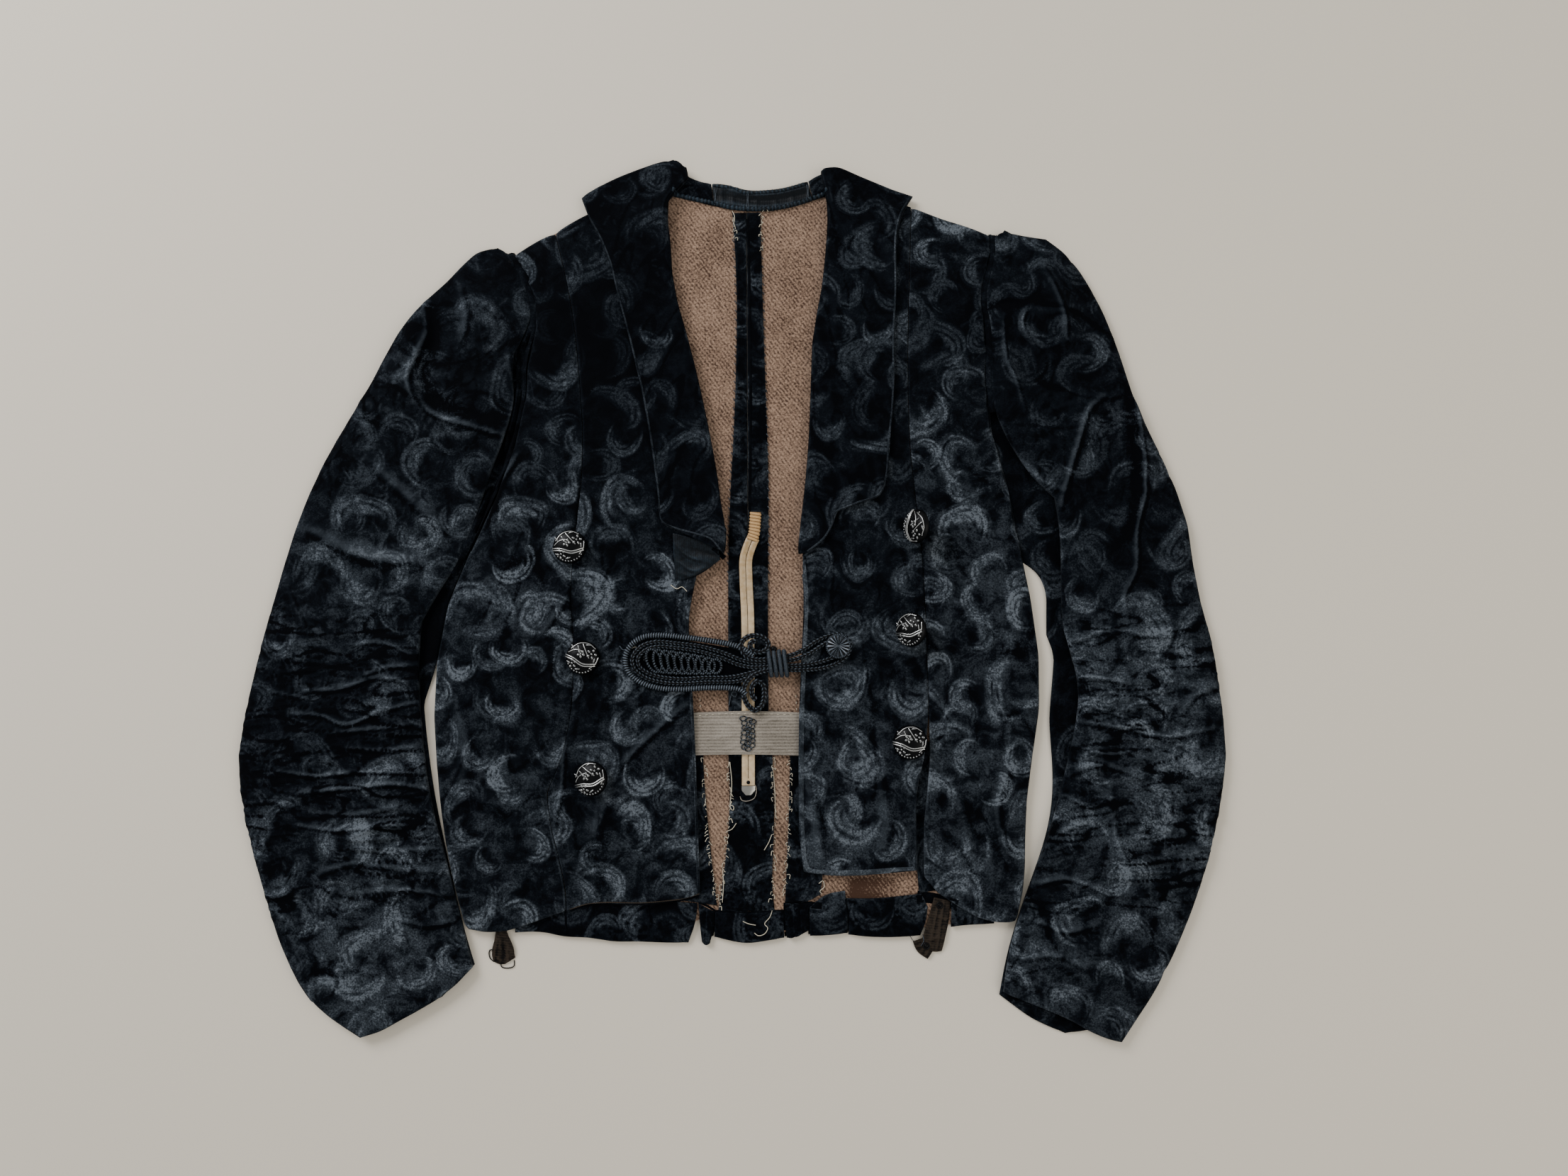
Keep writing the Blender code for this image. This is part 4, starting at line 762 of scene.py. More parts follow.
# The left under sleeve is set far darker: painted shade where it shows between the sleeve and the body
innerTonesAndShade = {"under_sleeve_left": 0.08, "under_sleeve_right": 0.32}
for name, (node, step, (cloth, slot), cut, area, over) in innerPanels.items():
    narrow = any(word in node for word in ("turning", "skirt", "hem"))
    crinkles = [(9, 2.6, 0, 0.9, -400, 400)] if narrow else ()
    piece = dressPanel(name, node, step, innerCreases.get(node, []), cloth, slot, len(dressed) + 40,
                       innerTonesAndShade.get(node, 0.3), (), crinkles, 5.0)
    dressed[name] = piece
print("inner cloth laid")

# Tubes for cord, thread and wire


def chevrons(pitch):
    # Plait: strands slope down both sides of a centre valley
    def relief(run, around):
        slope = np.abs((around + math.pi) % (2 * math.pi) - math.pi)
        strands = np.abs(np.sin(math.pi * run / pitch + 1.5 * slope))
        return 0.84 + 0.18 * strands**0.7 - 0.1 * np.exp(-((slope / 0.3) ** 2))
    return relief


def windings(pitch):
    def relief(run, around):
        return 0.82 + 0.2 * np.abs(np.sin(math.pi * run / pitch + 0.5 * around)) ** 0.7
    return relief


def tubeMesh(line, radius, sides=12, relief=None, closed=False):
    # Rings along a line of plan points with their heights, and how proud each vertex stands, with painted
    # light on each tube's top and painted shade on its sides and in the hollows of its relief
    line = np.array(line, float)
    if closed:
        tangent = np.roll(line, -1, axis=0) - np.roll(line, 1, axis=0)
    else:
        tangent = np.gradient(line, axis=0)
    tangent /= np.linalg.norm(tangent, axis=1)[:, None]
    normal = np.zeros_like(line)
    last = np.array([0.0, 0.0, 1.0]) if abs(tangent[0, 2]) < 0.9 else np.array([1.0, 0.0, 0.0])
    for i, t in enumerate(tangent):
        last = last - t * last.dot(t)
        last /= np.linalg.norm(last)
        normal[i] = last
    side = np.cross(tangent, normal)
    run = np.append(0, np.cumsum(np.linalg.norm(np.diff(line, axis=0), axis=1)))
    around = 2 * math.pi * np.arange(sides) / sides
    proud = relief(run[:, None], around[None]) if relief else np.ones((len(line), sides))
    spread = np.broadcast_to(radius, len(line))[:, None] * proud
    rings = (line[:, None] + (spread * np.cos(around))[..., None] * normal[:, None]
             + (spread * np.sin(around))[..., None] * side[:, None])
    count = len(line)
    faces = []
    for i in range(count if closed else count - 1):
        a = i * sides
        b = (i + 1) % count * sides
        for k in range(sides):
            after = (k + 1) % sides
            faces.append((a + k, a + after, b + after, b + k))
    if not closed:
        faces.append(tuple(range(sides))[::-1])
        faces.append(tuple((count - 1) * sides + k for k in range(sides)))
    # Painted light: the tops of tubes lighter, their sides darker
    paintedTopLight = 0.35 + 0.65 * np.cos(around)
    return rings.reshape(-1, 3), faces, (((proud - 0.92) / 0.1).clip(-1, 1) * paintedTopLight).ravel()


def gather(name, parts):
    # Several bodies of points, faces and crest in one piece
    points = np.concatenate([p for p, _, _ in parts])
    faces = []
    start = 0
    for p, f, _ in parts:
        faces += [tuple(start + i for i in face) for face in f]
        start += len(p)
    mesh = bpy.data.meshes.new(name)
    mesh.from_pydata([toRow(*p) for p in points], [], faces)
    mesh.shade_smooth()
    mesh.set_sharp_from_angle(angle=math.radians(55))
    setFloats(mesh, "crest", np.concatenate([c for _, _, c in parts]))
    return addObject(name, mesh)


def flatRoute(points, height, step):
    line = evenLine(points, step, 8)
    return np.column_stack([line, np.full(len(line), height)])


def ringRoute(x, y, z, radius, count):
    around = 2 * math.pi * np.arange(count) / count
    return np.column_stack([x + radius * np.cos(around), y + radius * np.sin(around), np.full(count, z)])


def closeRings(rings, count):
    # Faces of a body that has rings of points between two end points
    top = 1 + (rings - 1) * count
    faces = []
    for k in range(count):
        after = (k + 1) % count
        faces.append((0, 1 + after, 1 + k))
        faces.append((top + count, top + k, top + after))
        for i in range(rings - 1):
            base = 1 + i * count
            faces.append((base + k, base + after, base + count + after, base + count + k))
    return faces


def ball(x, y, z, sizes, turn=0.0):
    # Rounded blob with three radii, turned about the upright
    rows, columns = 5, 8
    parts = [(0, 0, -1)]
    for i in range(1, rows):
        a = math.pi * i / rows
        for k in range(columns):
            b = 2 * math.pi * k / columns
            parts.append((math.sin(a) * math.cos(b), math.sin(a) * math.sin(b), -math.cos(a)))
    parts.append((0, 0, 1))
    points = np.array(parts) * sizes
    c, s = math.cos(turn), math.sin(turn)
    points = np.column_stack([points[:, 0] * c - points[:, 1] * s, points[:, 0] * s + points[:, 1] * c,
                              points[:, 2]])
    return points + (x, y, z), closeRings(rows - 1, columns), np.zeros(len(points))


# Frog fastening: plaited silk cords in loops, held by wraps at a waist

frogRest = 7.95  # the fronts' top plus a little air
cordWidth = 3.2
woundWidth = 4.2
frogCords = {
    # the route that each cord takes over the fronts, as in the part's source
    "frog_outer_loop": [
        (20, -46.6), (12, -41.6), (5, -38.6), (-15, -34.6), (-35, -31.8), (-55, -29.8), (-68, -31),
        (-78, -37), (-83, -47), (-81, -58), (-72, -66.5), (-58, -71.5), (-40, -73), (-18, -72), (2, -72.4),
        (9, -73.8), (13.4, -77.4)],
    "frog_middle_loop": [
        (38, -50.9), (22, -52.4), (10, -50.2), (-4, -44.5), (-22, -39.2), (-42, -36.4), (-60, -35.2),
        (-71, -39), (-77.5, -48), (-75.5, -57), (-67, -63.6), (-54, -67.4), (-38, -68.6), (-18, -67.6),
        (0, -67.6), (8, -66.8), (14.6, -64.4)],
    "frog_inner_loop": [
        (38, -54.4), (20, -56), (8, -54), (-6, -48.4), (-24, -43), (-42, -40.1), (-58, -39), (-67.5, -42),
        (-73, -48.5), (-71.5, -55), (-64, -60.4), (-53, -63.6), (-38, -64.9), (-18, -63.9), (-2, -63.9),
        (8, -62.6), (22, -58.8)],
    "frog_right_outer_loop": [
        (38.5, -47.6), (50, -46.4), (60, -41.8), (70, -35.4), (80, -31.2), (88, -30.2), (94.5, -34),
        (96.4, -40), (94, -47), (86, -53.2), (74, -57), (58, -58.4), (38.5, -58.2)],
    "frog_right_inner_loop": [
        (38.5, -51.1), (52, -50), (64, -45.2), (75, -38.4), (83, -34.6), (89.5, -36), (91.5, -40.5),
        (88.5, -45.4), (79, -50), (66, -53.4), (52, -54.8), (38.5, -54.7)],
    "frog_lower_curl": [
        (38, -58), (28, -58.9), (19, -62.4), (13, -68.5), (11.5, -77), (14.5, -85.5), (20.5, -90),
        (26, -86), (27.9, -77.5), (26.6, -69.5), (22, -67.2), (18.2, -71.4), (18.3, -78), (21.3, -82)],
}


def frogLoops():
    for node, route in frogCords.items():
        wound = node == "frog_outer_loop"
        width = woundWidth if wound else cordWidth
        line = flatRoute(route, frogRest + width / 2, 0.32 if wound else 0.42)
        relief = windings(2.0) if wound else chevrons(3.2)
        stout = 1.35 if node == "frog_lower_curl" else 1.12
        piece = gather("silk_" + node, [tubeMesh(line, width / 2 * stout, 12, relief)])
        place(piece, cordSilk, "cord", node)
    curl = [
        (38, -48.2), (31, -49.6), (22, -49.9), (14.6, -47.6), (10.2, -42.4), (10.0, -36.6), (14.2, -32.2),
        (20.6, -30.8), (27.2, -32.4), (31.2, -36.6), (30.4, -41.2), (25.4, -44.0), (19.6, -43.0),
        (16.6, -39.2), (18.4, -35.8), (22.6, -35.6)]
    line = flatRoute(curl, frogRest + cordWidth / 2 + 0.5, 0.42)
    line[:, 2] += np.linspace(0.4, 1.6, len(line))
    knob = ball(35.6, -41.4, frogRest + 2.6, (2.9, 2.4, 2.2))
    piece = gather("silk_frog_upper_curl", [tubeMesh(line, cordWidth / 2 * 1.35, 12, chevrons(3.2)), knob])
    place(piece, cordSilk, "cord", "frog_upper_curl")


frogWrap = {"first": 31.4, "pitch": 4.1, "middle": -53, "reach": 9.6, "rise": 4.4, "radius": 1.85}


def frogWraps():
    # Bands of cord over the frog's waist, from one side down to the other
    for number in range(4):
        x = frogWrap["first"] + number * frogWrap["pitch"]
        steps = np.linspace(math.radians(-24), math.radians(204), 46)
        lean = 1.2 * (1 - np.cos(np.clip(steps, 0, math.pi)))
        line = np.column_stack([x + lean, frogWrap["middle"] + frogWrap["reach"] * np.cos(steps),
                                frogRest + 1.4 + frogWrap["rise"] * np.sin(steps)])
        line[:, 2] = np.maximum(line[:, 2], frogRest + 1.6)
        points, faces, crest = tubeMesh(line, frogWrap["radius"], 12)
        node = "frog_wrap_%d" % (number + 1)
        place(gather("silk_" + node, [(points, faces, crest * 0.7)]), thread, "cord", node)


def frogChain():
    # Overlapping loops of cord, each lying on the last, closed off by a small square bead of cord
    parts = []
    around = np.linspace(0, 2 * math.pi, 60, endpoint=False)
    for k in range(10):
        share = k / 9
        x = -60 + 49 * share
        y = -50.2 - 4.8 * share
        tall = 9.2 - 3.6 * share**2
        line = np.column_stack([x + (5.8 - share) * np.cos(around) - 2.4 * (1 - share) * np.sin(around),
                                y + tall * np.sin(around),
                                frogRest + 1.5 + 0.8 * (1 - np.cos(around))])
        parts.append(tubeMesh(line, 1.15, 9, windings(1.8), closed=True))
    for dx, dy in ((0, 0), (2.2, 0), (0, 2.2), (2.2, 2.2)):
        parts.append(ball(-67.6 + dx, -49.8 + dy, frogRest + 1.4, (1.5, 1.5, 1.3)))
    place(gather("silk_frog_chain", parts), cordSilk, "cord", "frog_chain")


def frogDisc():
    # Round button of cord: satin drawn in pleats to the middle, with a cord round its edge
    x, y, base = 87, -39.8, frogRest + cordWidth + 0.35
    count = 96
    around = 2 * math.pi * np.arange(count) / count
    points = [(x, y, base + 0.2)]
    rings = [(9.2, 0.1), (9.4, 1.6), (8.4, 2.8), (6.6, 3.4), (4.6, 3.6), (2.6, 3.3), (1.2, 2.9)]
    for radius, height in rings:
        pleat = 0.5 * np.cos(around * 16 + 0.7 * np.sin(around * 3)) * (1 - abs(radius - 5) / 6)
        for a, p in zip(around, pleat):
            points.append((x + radius * math.cos(a), y + radius * math.sin(a), base + height + p))
    points.append((x, y, base + 2.7))
    # Painted highlights on the crowns of the pleats, brighter on two opposite sides of the disc
    lit = np.cos(around * 16 + 0.7 * np.sin(around * 3)) * (0.6 + 0.5 * np.cos(around * 2 + 0.6))
    crest = np.append(np.append(0, 0.4 + np.tile(lit, len(rings))), 1)
    edge = ringRoute(x, y, base + 1.5, 9.0, count)
    parts = [
        (np.array(points), closeRings(len(rings), count), crest),
        tubeMesh(edge, 1.2, 8, windings(1.4), closed=True)]
    place(gather("silk_frog_disc", parts), thread, "cord", "frog_disc")


def frogShadePad():
    # Dark sheet under the frog, cut to the run of its cords: painted shade where the cloth between the cords
    # lies in their shadow
    count, rows = 40, 6
    upper = smoothLine([(-78, -47), (-70, -38), (-55, -32.5), (-35, -34.5), (-15, -37.5), (4, -41.5),
                        (14, -46), (34, -49)], count)
    lower = smoothLine([(-78, -50), (-72, -62), (-55, -69.5), (-38, -71), (-15, -70), (2, -70.5), (14, -62),
                        (34, -57)], count)
    points = []
    for height in (frogRest + 0.5, frogRest - 0.2):
        for a, b in zip(upper, lower):
            for share in np.linspace(0, 1, rows):
                points.append((*(a + (b - a) * share), height))
    faces = []
    under = count * rows  # first point of the lower side
    for i in range(count - 1):
        for k in range(rows - 1):
            a = i * rows + k
            faces.append((a, a + rows, a + rows + 1, a + 1))
            a += under
            faces.append((a, a + 1, a + rows + 1, a + rows))
        a = i * rows
        b = a + rows - 1
        faces.append((a, a + under, a + under + rows, a + rows))
        faces.append((b, b + rows, b + under + rows, b + under))
    faces.append((*range(rows)[::-1], *range(under, under + rows))[::-1])
    faces.append((*range(under - rows, under)[::-1], *range(2 * under - rows, 2 * under)))
    # Set to the darkest end of the velvet's colours, as painted shade
    place(gather("frog_shade_pad", [(np.array(points), faces, np.full(len(points), -1.0))]), velvetReverse, "cord")


frogShadePad()
frogLoops()
frogWraps()
frogChain()
frogDisc()
print("frog plaited")

# Buttons: blackened domes under pierced silvered metal with flowers, leaves and two bars

buttonSize = {"radius": 14.2, "dome": 14.0, "height": 8.5}
buttonTurns = {
    # lean towards the left and turn in degrees
    "button_left_upper": (0, 0),
    "button_left_middle": (0, -20),
    "button_left_lower": (12, 15),
    "button_right_upper": (55, -95),
    "button_right_middle": (38, 5),
    "button_right_lower": (8, -10),
}


def domeHeight(share):
    return buttonSize["height"] * math.sqrt(max(0.0, 1 - (0.93 * share) ** 2.2))


def onDome(x, y, lift):
    # Local place on the dome, x and y as shares of its radius
    share = min(1.0, math.hypot(x, y))
    return (x * buttonSize["radius"], y * buttonSize["radius"], domeHeight(share) + lift)


def domeLine(points, lift):
    return np.array([onDome(x, y, lift) for x, y in smoothLine(points, 26)])


def tracery():
    parts = []
    for x, y, size, turn in ((0.46, 0.36, 0.21, 10), (-0.40, -0.46, 0.20, 40), (-0.1, 0.18, 0.15, 0)):
        for k in range(5):
            a = math.radians(turn + 72 * k)
            px, py, pz = onDome(x + size * math.cos(a), y + size * math.sin(a), 0.25)
            parts.append(ball(px, py, pz, (1.5, 1.05, 0.8), a))
        parts.append(ball(*onDome(x, y, 0.9), (0.95, 0.95, 0.7)))
    leaves = ((-0.35, 0.45, 120), (0.1, 0.78, 20), (0.7, 0.05, 90), (-0.02, -0.68, 200), (-0.7, 0.4, 130))
    for x, y, turn in leaves:
        parts.append(ball(*onDome(x, y, 0.2), (2.2, 0.7, 0.6), math.radians(turn)))
    stems = ([(-0.75, 0.3), (-0.4, 0.72), (0.1, 0.86), (0.55, 0.7)],
             [(-0.2, 0.75), (0.12, 0.4), (0.4, 0.1)],
             [(-0.82, 0.05), (-0.5, 0.3), (-0.1, 0.35), (0.1, 0.2)],
             [(0.85, 0.3), (0.82, -0.1), (0.6, -0.45)])
    for stem in stems:
        parts.append(tubeMesh(domeLine(stem, 0.25), 0.42, 7))
    for drop in (0.0, 0.12):
        bar = [(-0.93, -0.12 - drop), (-0.4, -0.16 - drop), (0.2, -0.3 - drop), (0.84, -0.1 - drop)]
        parts.append(tubeMesh(domeLine(bar, 0.55), 0.55, 8))
    for k in range(11):
        a = math.radians(212 + 11.5 * k)
        parts.append(ball(*onDome(0.84 * math.cos(a), 0.84 * math.sin(a), 0.15), (0.8, 0.8, 0.7)))
    return parts


def domeBody():
    rings = [(0.70, 0.0), (0.94, 1.0), (0.98, 2.0)]
    rings += [(share, domeHeight(share) - 0.15) for share in (0.9, 0.75, 0.55, 0.3)]
    points = [(0, 0, 0)]
    count = 36
    for share, height in rings:
        for k in range(count):
            a = 2 * math.pi * k / count
            radius = share * buttonSize["dome"]
            points.append((radius * math.cos(a), radius * math.sin(a), height))
    points.append((0, 0, domeHeight(0) - 0.15))
    return np.array(points, float), closeRings(len(rings), count), np.zeros(len(points))


def seat(parts, node, lean, turn):
    # Turns a button's parts about its own axis, leans it and sets it where the node's box is
    low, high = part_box(node)
    c, s = math.cos(math.radians(turn)), math.sin(math.radians(turn))
    a = math.radians(-lean)
    spin = np.array([[c, -s, 0], [s, c, 0], [0, 0, 1]])
    tip = np.array([[math.cos(a), 0, math.sin(a)], [0, 1, 0], [-math.sin(a), 0, math.cos(a)]])
    body = domeBody()[0] @ spin.T @ tip.T
    middle = (body.min(0) + body.max(0)) / 2
    target = [(low.x + high.x) / 2 / mm + planMiddle[0], (low.y + high.y) / 2 / mm + planMiddle[1]]
    move = np.array([target[0] - middle[0], target[1] - middle[1], low.z / mm - body.min(0)[2]])
    return [(p @ spin.T @ tip.T + move, f, crest) for p, f, crest in parts]


for node, (lean, turn) in buttonTurns.items():
    dome = gather(node.replace("button", "dome"), seat([domeBody()], node, lean, turn))
    place(dome, steel, "button_metal", node)
    lace = gather(node.replace("button", "tracery"), seat(tracery(), node, lean, turn))
    place(lace, gunmetal, "button_metal")
print("buttons pierced")

# Bindings, stitches and loose threads, laid on whatever cloth is under them

outerCloth = [dressed[name] for name in panels]
innerCloth = [dressed[name] for name in innerPanels]
outerHeight = surfaceUnder(outerCloth)
anyHeight = surfaceUnder(outerCloth + innerCloth)


def layStrip(points, width, thick, heightAt, step=1.6, columns=5, ruffle=0.0, sink=0.6, stripLight=0.0):
    # Narrow band of cloth along a plan line, bent over the surface and thinner at its two edges
    line = evenLine(points, step, 6)
    across = np.linspace(-0.5, 0.5, columns) * width
    top = []
    under = []
    crest = []
    for i, (point, out) in enumerate(zip(line, sideOf(line))):
        frill = ruffle * math.sin(i * step * 1.9 + 0.8 * math.sin(i * 0.31))
        for k, offset in enumerate(across):
            x, y = point + out * offset
            base = heightAt(x, y)
            rim = math.cos(math.pi * offset / width) ** 0.5 if 0 < k < columns - 1 else 0.25
            top.append((x, y, base + thick * rim + frill * (0.5 + offset / width)))
            under.append((x, y, base - sink))
            # Painted highlight along the band, more on the rise of each ruffle
            crest.append(stripLight + frill)
    count = len(line)
    faces = []
    half = count * columns
    for i in range(count - 1):
        for k in range(columns - 1):
            a = i * columns + k
            b = a + columns
            faces.append((a, b, b + 1, a + 1))
            faces.append((half + a, half + a + 1, half + b + 1, half + b))
        a = i * columns
        b = a + columns
        faces.append((a, half + a, half + b, b))
        a += columns - 1
        b += columns - 1
        faces.append((a, b, half + b, half + a))
    for row, turn in ((0, 1), (count - 1, -1)):
        ring = [row * columns + k for k in range(columns)]
        ring += [half + row * columns + k for k in range(columns)][::-1]
        faces.append(tuple(ring[::turn]))
    return np.array(top + under), faces, np.array(crest * 2)


def layThread(points, radius, heightAt, lift):
    # Round thread that follows the surface, raised a little in its middle
    line = smoothLine(points, max(6, int(lengthOf(points))))
    rise = lift * np.sin(np.linspace(0, math.pi, len(line)))
    heights = [heightAt(x, y) for x, y in line]
    smooth = np.convolve(np.pad(heights, 2, mode="edge"), np.ones(5) / 5, mode="valid")
    route = np.column_stack([line, np.maximum(smooth, heights) + radius * 0.8 + rise])
    return tubeMesh(route, radius, 6)


def stitches(points, length, pitch, radius, heightAt, slant):
    # Short stitches along a line, each dipping into the cloth at its ends
    line = smoothLine(points, 300)
    run = np.append(0, np.cumsum(np.linalg.norm(np.diff(line, axis=0), axis=1)))
    parts = []
    for start in np.arange(0.5, run[-1] - length, pitch):
        a = np.array([np.interp(start, run, column) for column in line.T])
        b = np.array([np.interp(start + length, run, column) for column in line.T])
        out = np.array([-(b - a)[1], (b - a)[0]]) * slant
        a, b = a - out, b + out
        steps = np.linspace(0, 1, 6)
        spots = a + (b - a) * steps[:, None]
        z = np.array([heightAt(x, y) for x, y in spots]) + radius * (2.2 * np.sin(steps * math.pi) - 0.6)
        parts.append(tubeMesh(np.column_stack([spots, z]), radius, 6))
    return parts


frontBands = {
    # route, width, thickness, cloth, slot, how light its pile lies, which also sets a painted highlight along
    # the band
    "revers_edge_left": ([
        (-121.6, 335), (-115, 317.6), (-105, 298.6), (-96.5, 276.6), (-91, 253.6), (-79.5, 209.6),
        (-69, 165), (-61, 118), (-57, 88), (-53.7, 62), (-42, 56), (-28, 52), (-14, 47),
        (-5, 36)], 1.5, 0.7, velvet, "velvet", 0.9),
    "revers_edge_right": ([
        (151, 332), (143, 318.6), (138, 299.6), (137, 252), (134.6, 212), (134, 170), (130, 130.6),
        (122.5, 84), (103, 75.6), (85, 67.6), (82.5, 57.6), (76, 47),
        (63, 36.5)], 1.5, 0.7, velvet, "velvet", 1.1),
    "bias_band_right": ([
        (59.8, 26), (61.6, 0), (60, -40), (57.6, -90), (56.7, -140), (57.1, -187), (59.6, -211),
        (63, -215.6), (76, -217.2), (100, -217.4), (124, -216),
        (145, -214.8)], 4.0, 0.6, velvet, "velvet", 1.5),
    "edge_line_left": ([
        (-33.2, 16), (-36, 0), (-34.4, -30), (-31.3, -75), (-28.8, -127), (-27.2, -171),
        (-25.2, -232)], 1.0, 0.4, velvet, "twill", 1.0),
    "hem_line_left": ([
        (-24, -233.2), (-32, -236.2), (-50, -238.6), (-70, -240), (-100, -239.6), (-115, -241.4),
        (-126, -245)], 0.8, 0.4, binding, "twill", 0.0),
    "seam_flap_left": ([
        (-149, -158), (-143.4, -176), (-137.6, -200), (-131.4, -227),
        (-130, -244)], 1.6, 0.6, velvet, "velvet", 0.9),
    "slit_edge_right": ([(149, -142), (146.6, -160), (146, -214)], 1.5, 0.5, velvet, "velvet", 0.6),
}
armholes = {
    # line between a sleeve and the body, and the width to bridge
    "armhole_seam_left": ([
        (-182.5, 289), (-170, 268.5), (-162.8, 246), (-161.8, 228), (-168, 209), (-171, 190), (-171, 172),
        (-178, 134), (-185, 106), (-195, 84), (-205, 63), (-215, 42), (-225, 22)], 7.5),
    "armhole_seam_right": ([
        (218.6, 300.5), (218.2, 281), (212.6, 262), (209.6, 246), (212.6, 226), (213.6, 205), (212.6, 180),
        (214.4, 150)], 6.5),
}


def bridgeHeight(x, y):
    return max(outerHeight(x - 4, y - 1), outerHeight(x + 4, y + 1), 3.0) - 2.4


def sewBand(name, strips, cloth, slot, tone):
    piece = place(gather(name, strips), cloth, slot)
    setFloats(piece.data, "tone", tone)


for name, (points, width) in armholes.items():
    sewBand(name, [layStrip(points, width, 1.6, bridgeHeight)], velvet, "velvet", 0.45)
for name, (points, width, thick, cloth, slot, tone) in frontBands.items():
    sewBand(name, [layStrip(points, width, thick, outerHeight, stripLight=tone * 0.3)], cloth, slot, tone)

threads = {
    # stuff and slot, radius, lift, routes
    "cream_threads": (creamThread, "tape", 0.27, 0.5, [
        [(0, -131), (1.5, -148), (0, -165)], [(-1, -165), (2.4, -169), (3, -166), (0.4, -164.6)],
        [(-2, -185), (1.4, -183.6), (5, -179)], [(-6, -215), (-5.2, -226), (-6, -238)],
        [(34, -135), (35.6, -154), (36, -175)], [(33, -188), (30.6, -194), (27, -200)],
        [(33, -247), (31, -252), (27, -257), (29.5, -260), (27, -264.5), (22, -266), (19, -264)],
        [(10, -255), (14.4, -256.8), (20, -258)],
        [(70, -226), (73, -224), (74, -229), (70.6, -232), (72, -234)], [(3, 324), (5, 318), (4, 312)],
        [(28, 323), (31, 324.6), (33, 323)], [(-47, 10.6), (-42, 7.4), (-38, 9), (-34, 5.4)],
        [(-78, -40), (-75, -39), (-73.6, -42), (-76.4, -43)]]),
    "grey_thread": (petersham, "tape", 0.3, 0.4, [
        [(8, -158), (9.4, -161), (14.4, -161.6), (19.6, -159), (21, -152), (20, -149)]]),
    "dark_threads": (thread, "cord", 0.45, 0.5, [
        [(3, -74), (1.4, -77), (4.4, -79.4), (5.6, -76), (2.4, -75.4), (0.6, -80), (-0.6, -86)],
        [(-80, -40), (-84.6, -41.4), (-88, -38.2)]]),
}
for name, (stuff, slot, radius, lift, routes) in threads.items():
    place(gather(name, [layThread(route, radius, anyHeight, lift) for route in routes]), stuff, slot)

seams = {
    # stuff and slot, stitch, pitch, radius, slant, routes
    "tape_stitches": (creamThread, "tape", 1.6, 5.2, 0.28, 0.0, [
        [(-25, -94), (0, -92.6), (30, -93), (52, -94.2)], [(-24, -80), (-23.4, -92)],
        [(53, -78), (53.4, -92)]]),
    "turning_stitches": (thread, "velvet_underside", 2.2, 7.5, 0.35, 0.3, [
        [(3.6, 300), (5.6, 246), (3.8, 157), (-0.6, 67), (-1.4, 10)],
        [(27.6, 300), (29.6, 205), (31.8, 100), (31.6, 0)]]),
}
for name, (stuff, slot, length, pitch, radius, slant, routes) in seams.items():
    parts = [part for route in routes for part in stitches(route, length, pitch, radius, anyHeight, slant)]
    place(gather(name, parts), stuff, slot)

# Frayed edges of the twill, and the oversewn place where the tape crosses the bone
dice = random.Random(21)
frays = []
for edge in ([(-1, -128), (0, -164), (-6, -226), (-9, -244)], [(34, -128), (35, -175), (33, -238)],
             [(-21, -128), (-18, -180), (-11.4, -238)], [(48, -130), (46, -185), (43.4, -236)],
             [(3.4, 322), (5, 300)], [(27, 322), (27.8, 290)]):
    for x, y in smoothLine(edge, 6 + int(abs(edge[0][1] - edge[-1][1]) / 3.2)):
        if dice.random() < 0.2:
            continue
        bend = dice.uniform(-1.5, 1.5)
        dx = dice.uniform(-1.8, 1.8)
        tuft = [(x, y), (x + dx + bend, y + dice.uniform(-1.2, 1.2)),
                (x + dx * 1.6, y - dice.uniform(0.8, 3.4))]
        frays.append(layThread(tuft, dice.uniform(0.16, 0.3), anyHeight, 0.2))
place(gather("frayed_edges", frays), creamThread, "twill")
loops = []
turn = 2 * math.pi * np.arange(14) / 14
for k in range(20):
    x = 14.8 + (-3.4, 0.2, 3.2)[k % 3] + dice.uniform(-0.7, 0.7)
    y = -96.5 - k * 1.25
    wide, tall, tilt = dice.uniform(2.0, 3.0), dice.uniform(1.5, 2.4), dice.uniform(-0.6, 0.6)
    ring = np.column_stack([x + wide * np.cos(turn) - tilt * np.sin(turn),
                            y + tall * np.sin(turn) + tilt * np.cos(turn),
                            np.array([anyHeight(x, y) + 0.5 + 0.35 * math.cos(2 * a + k) for a in turn])])
    loops.append(tubeMesh(ring, 0.5, 6, windings(1.6), closed=True))
place(gather("tape_overcasting", loops), thread, "tape")

# Dark edges that close the joins between the turned-up widths, and a dark strip of painted shade by the right
# tab
hemJoins = [
    [(-12, -247.2), (12, -247.6), (42, -247.2)], [(-12.8, -247), (-13, -260), (-14.4, -266.6)],
    [(42.7, -241), (42.8, -255), (43.4, -267.2)], [(61.8, -244), (62.1, -262), (62.1, -265.6)],
    [(91.2, -238), (92.6, -250), (92.2, -264)], [(-24.6, -240.6), (-18, -243.4), (-12, -247)],
    [(43, -240.6), (50, -241.2), (61, -243)], [(-130, -245.4), (-129.6, -256), (-129.4, -265.6)],
    [(-64, -242), (-64.4, -256), (-64.2, -268.6)]]
wideJoinsAndShade = [
    # A dark strip of painted shade where the hem lies in shadow beside the right tab
    ([(147, -236.4), (160, -238.2), (178, -243)], 8.5),
    ([(50, -241.4), (60, -242.4), (72, -243.4)], 5.0)]
leftHem = [
    (-25, -234.6), (-33, -237.6), (-50, -240), (-70, -241.4), (-100, -241), (-115, -242.8), (-126, -246.4)]
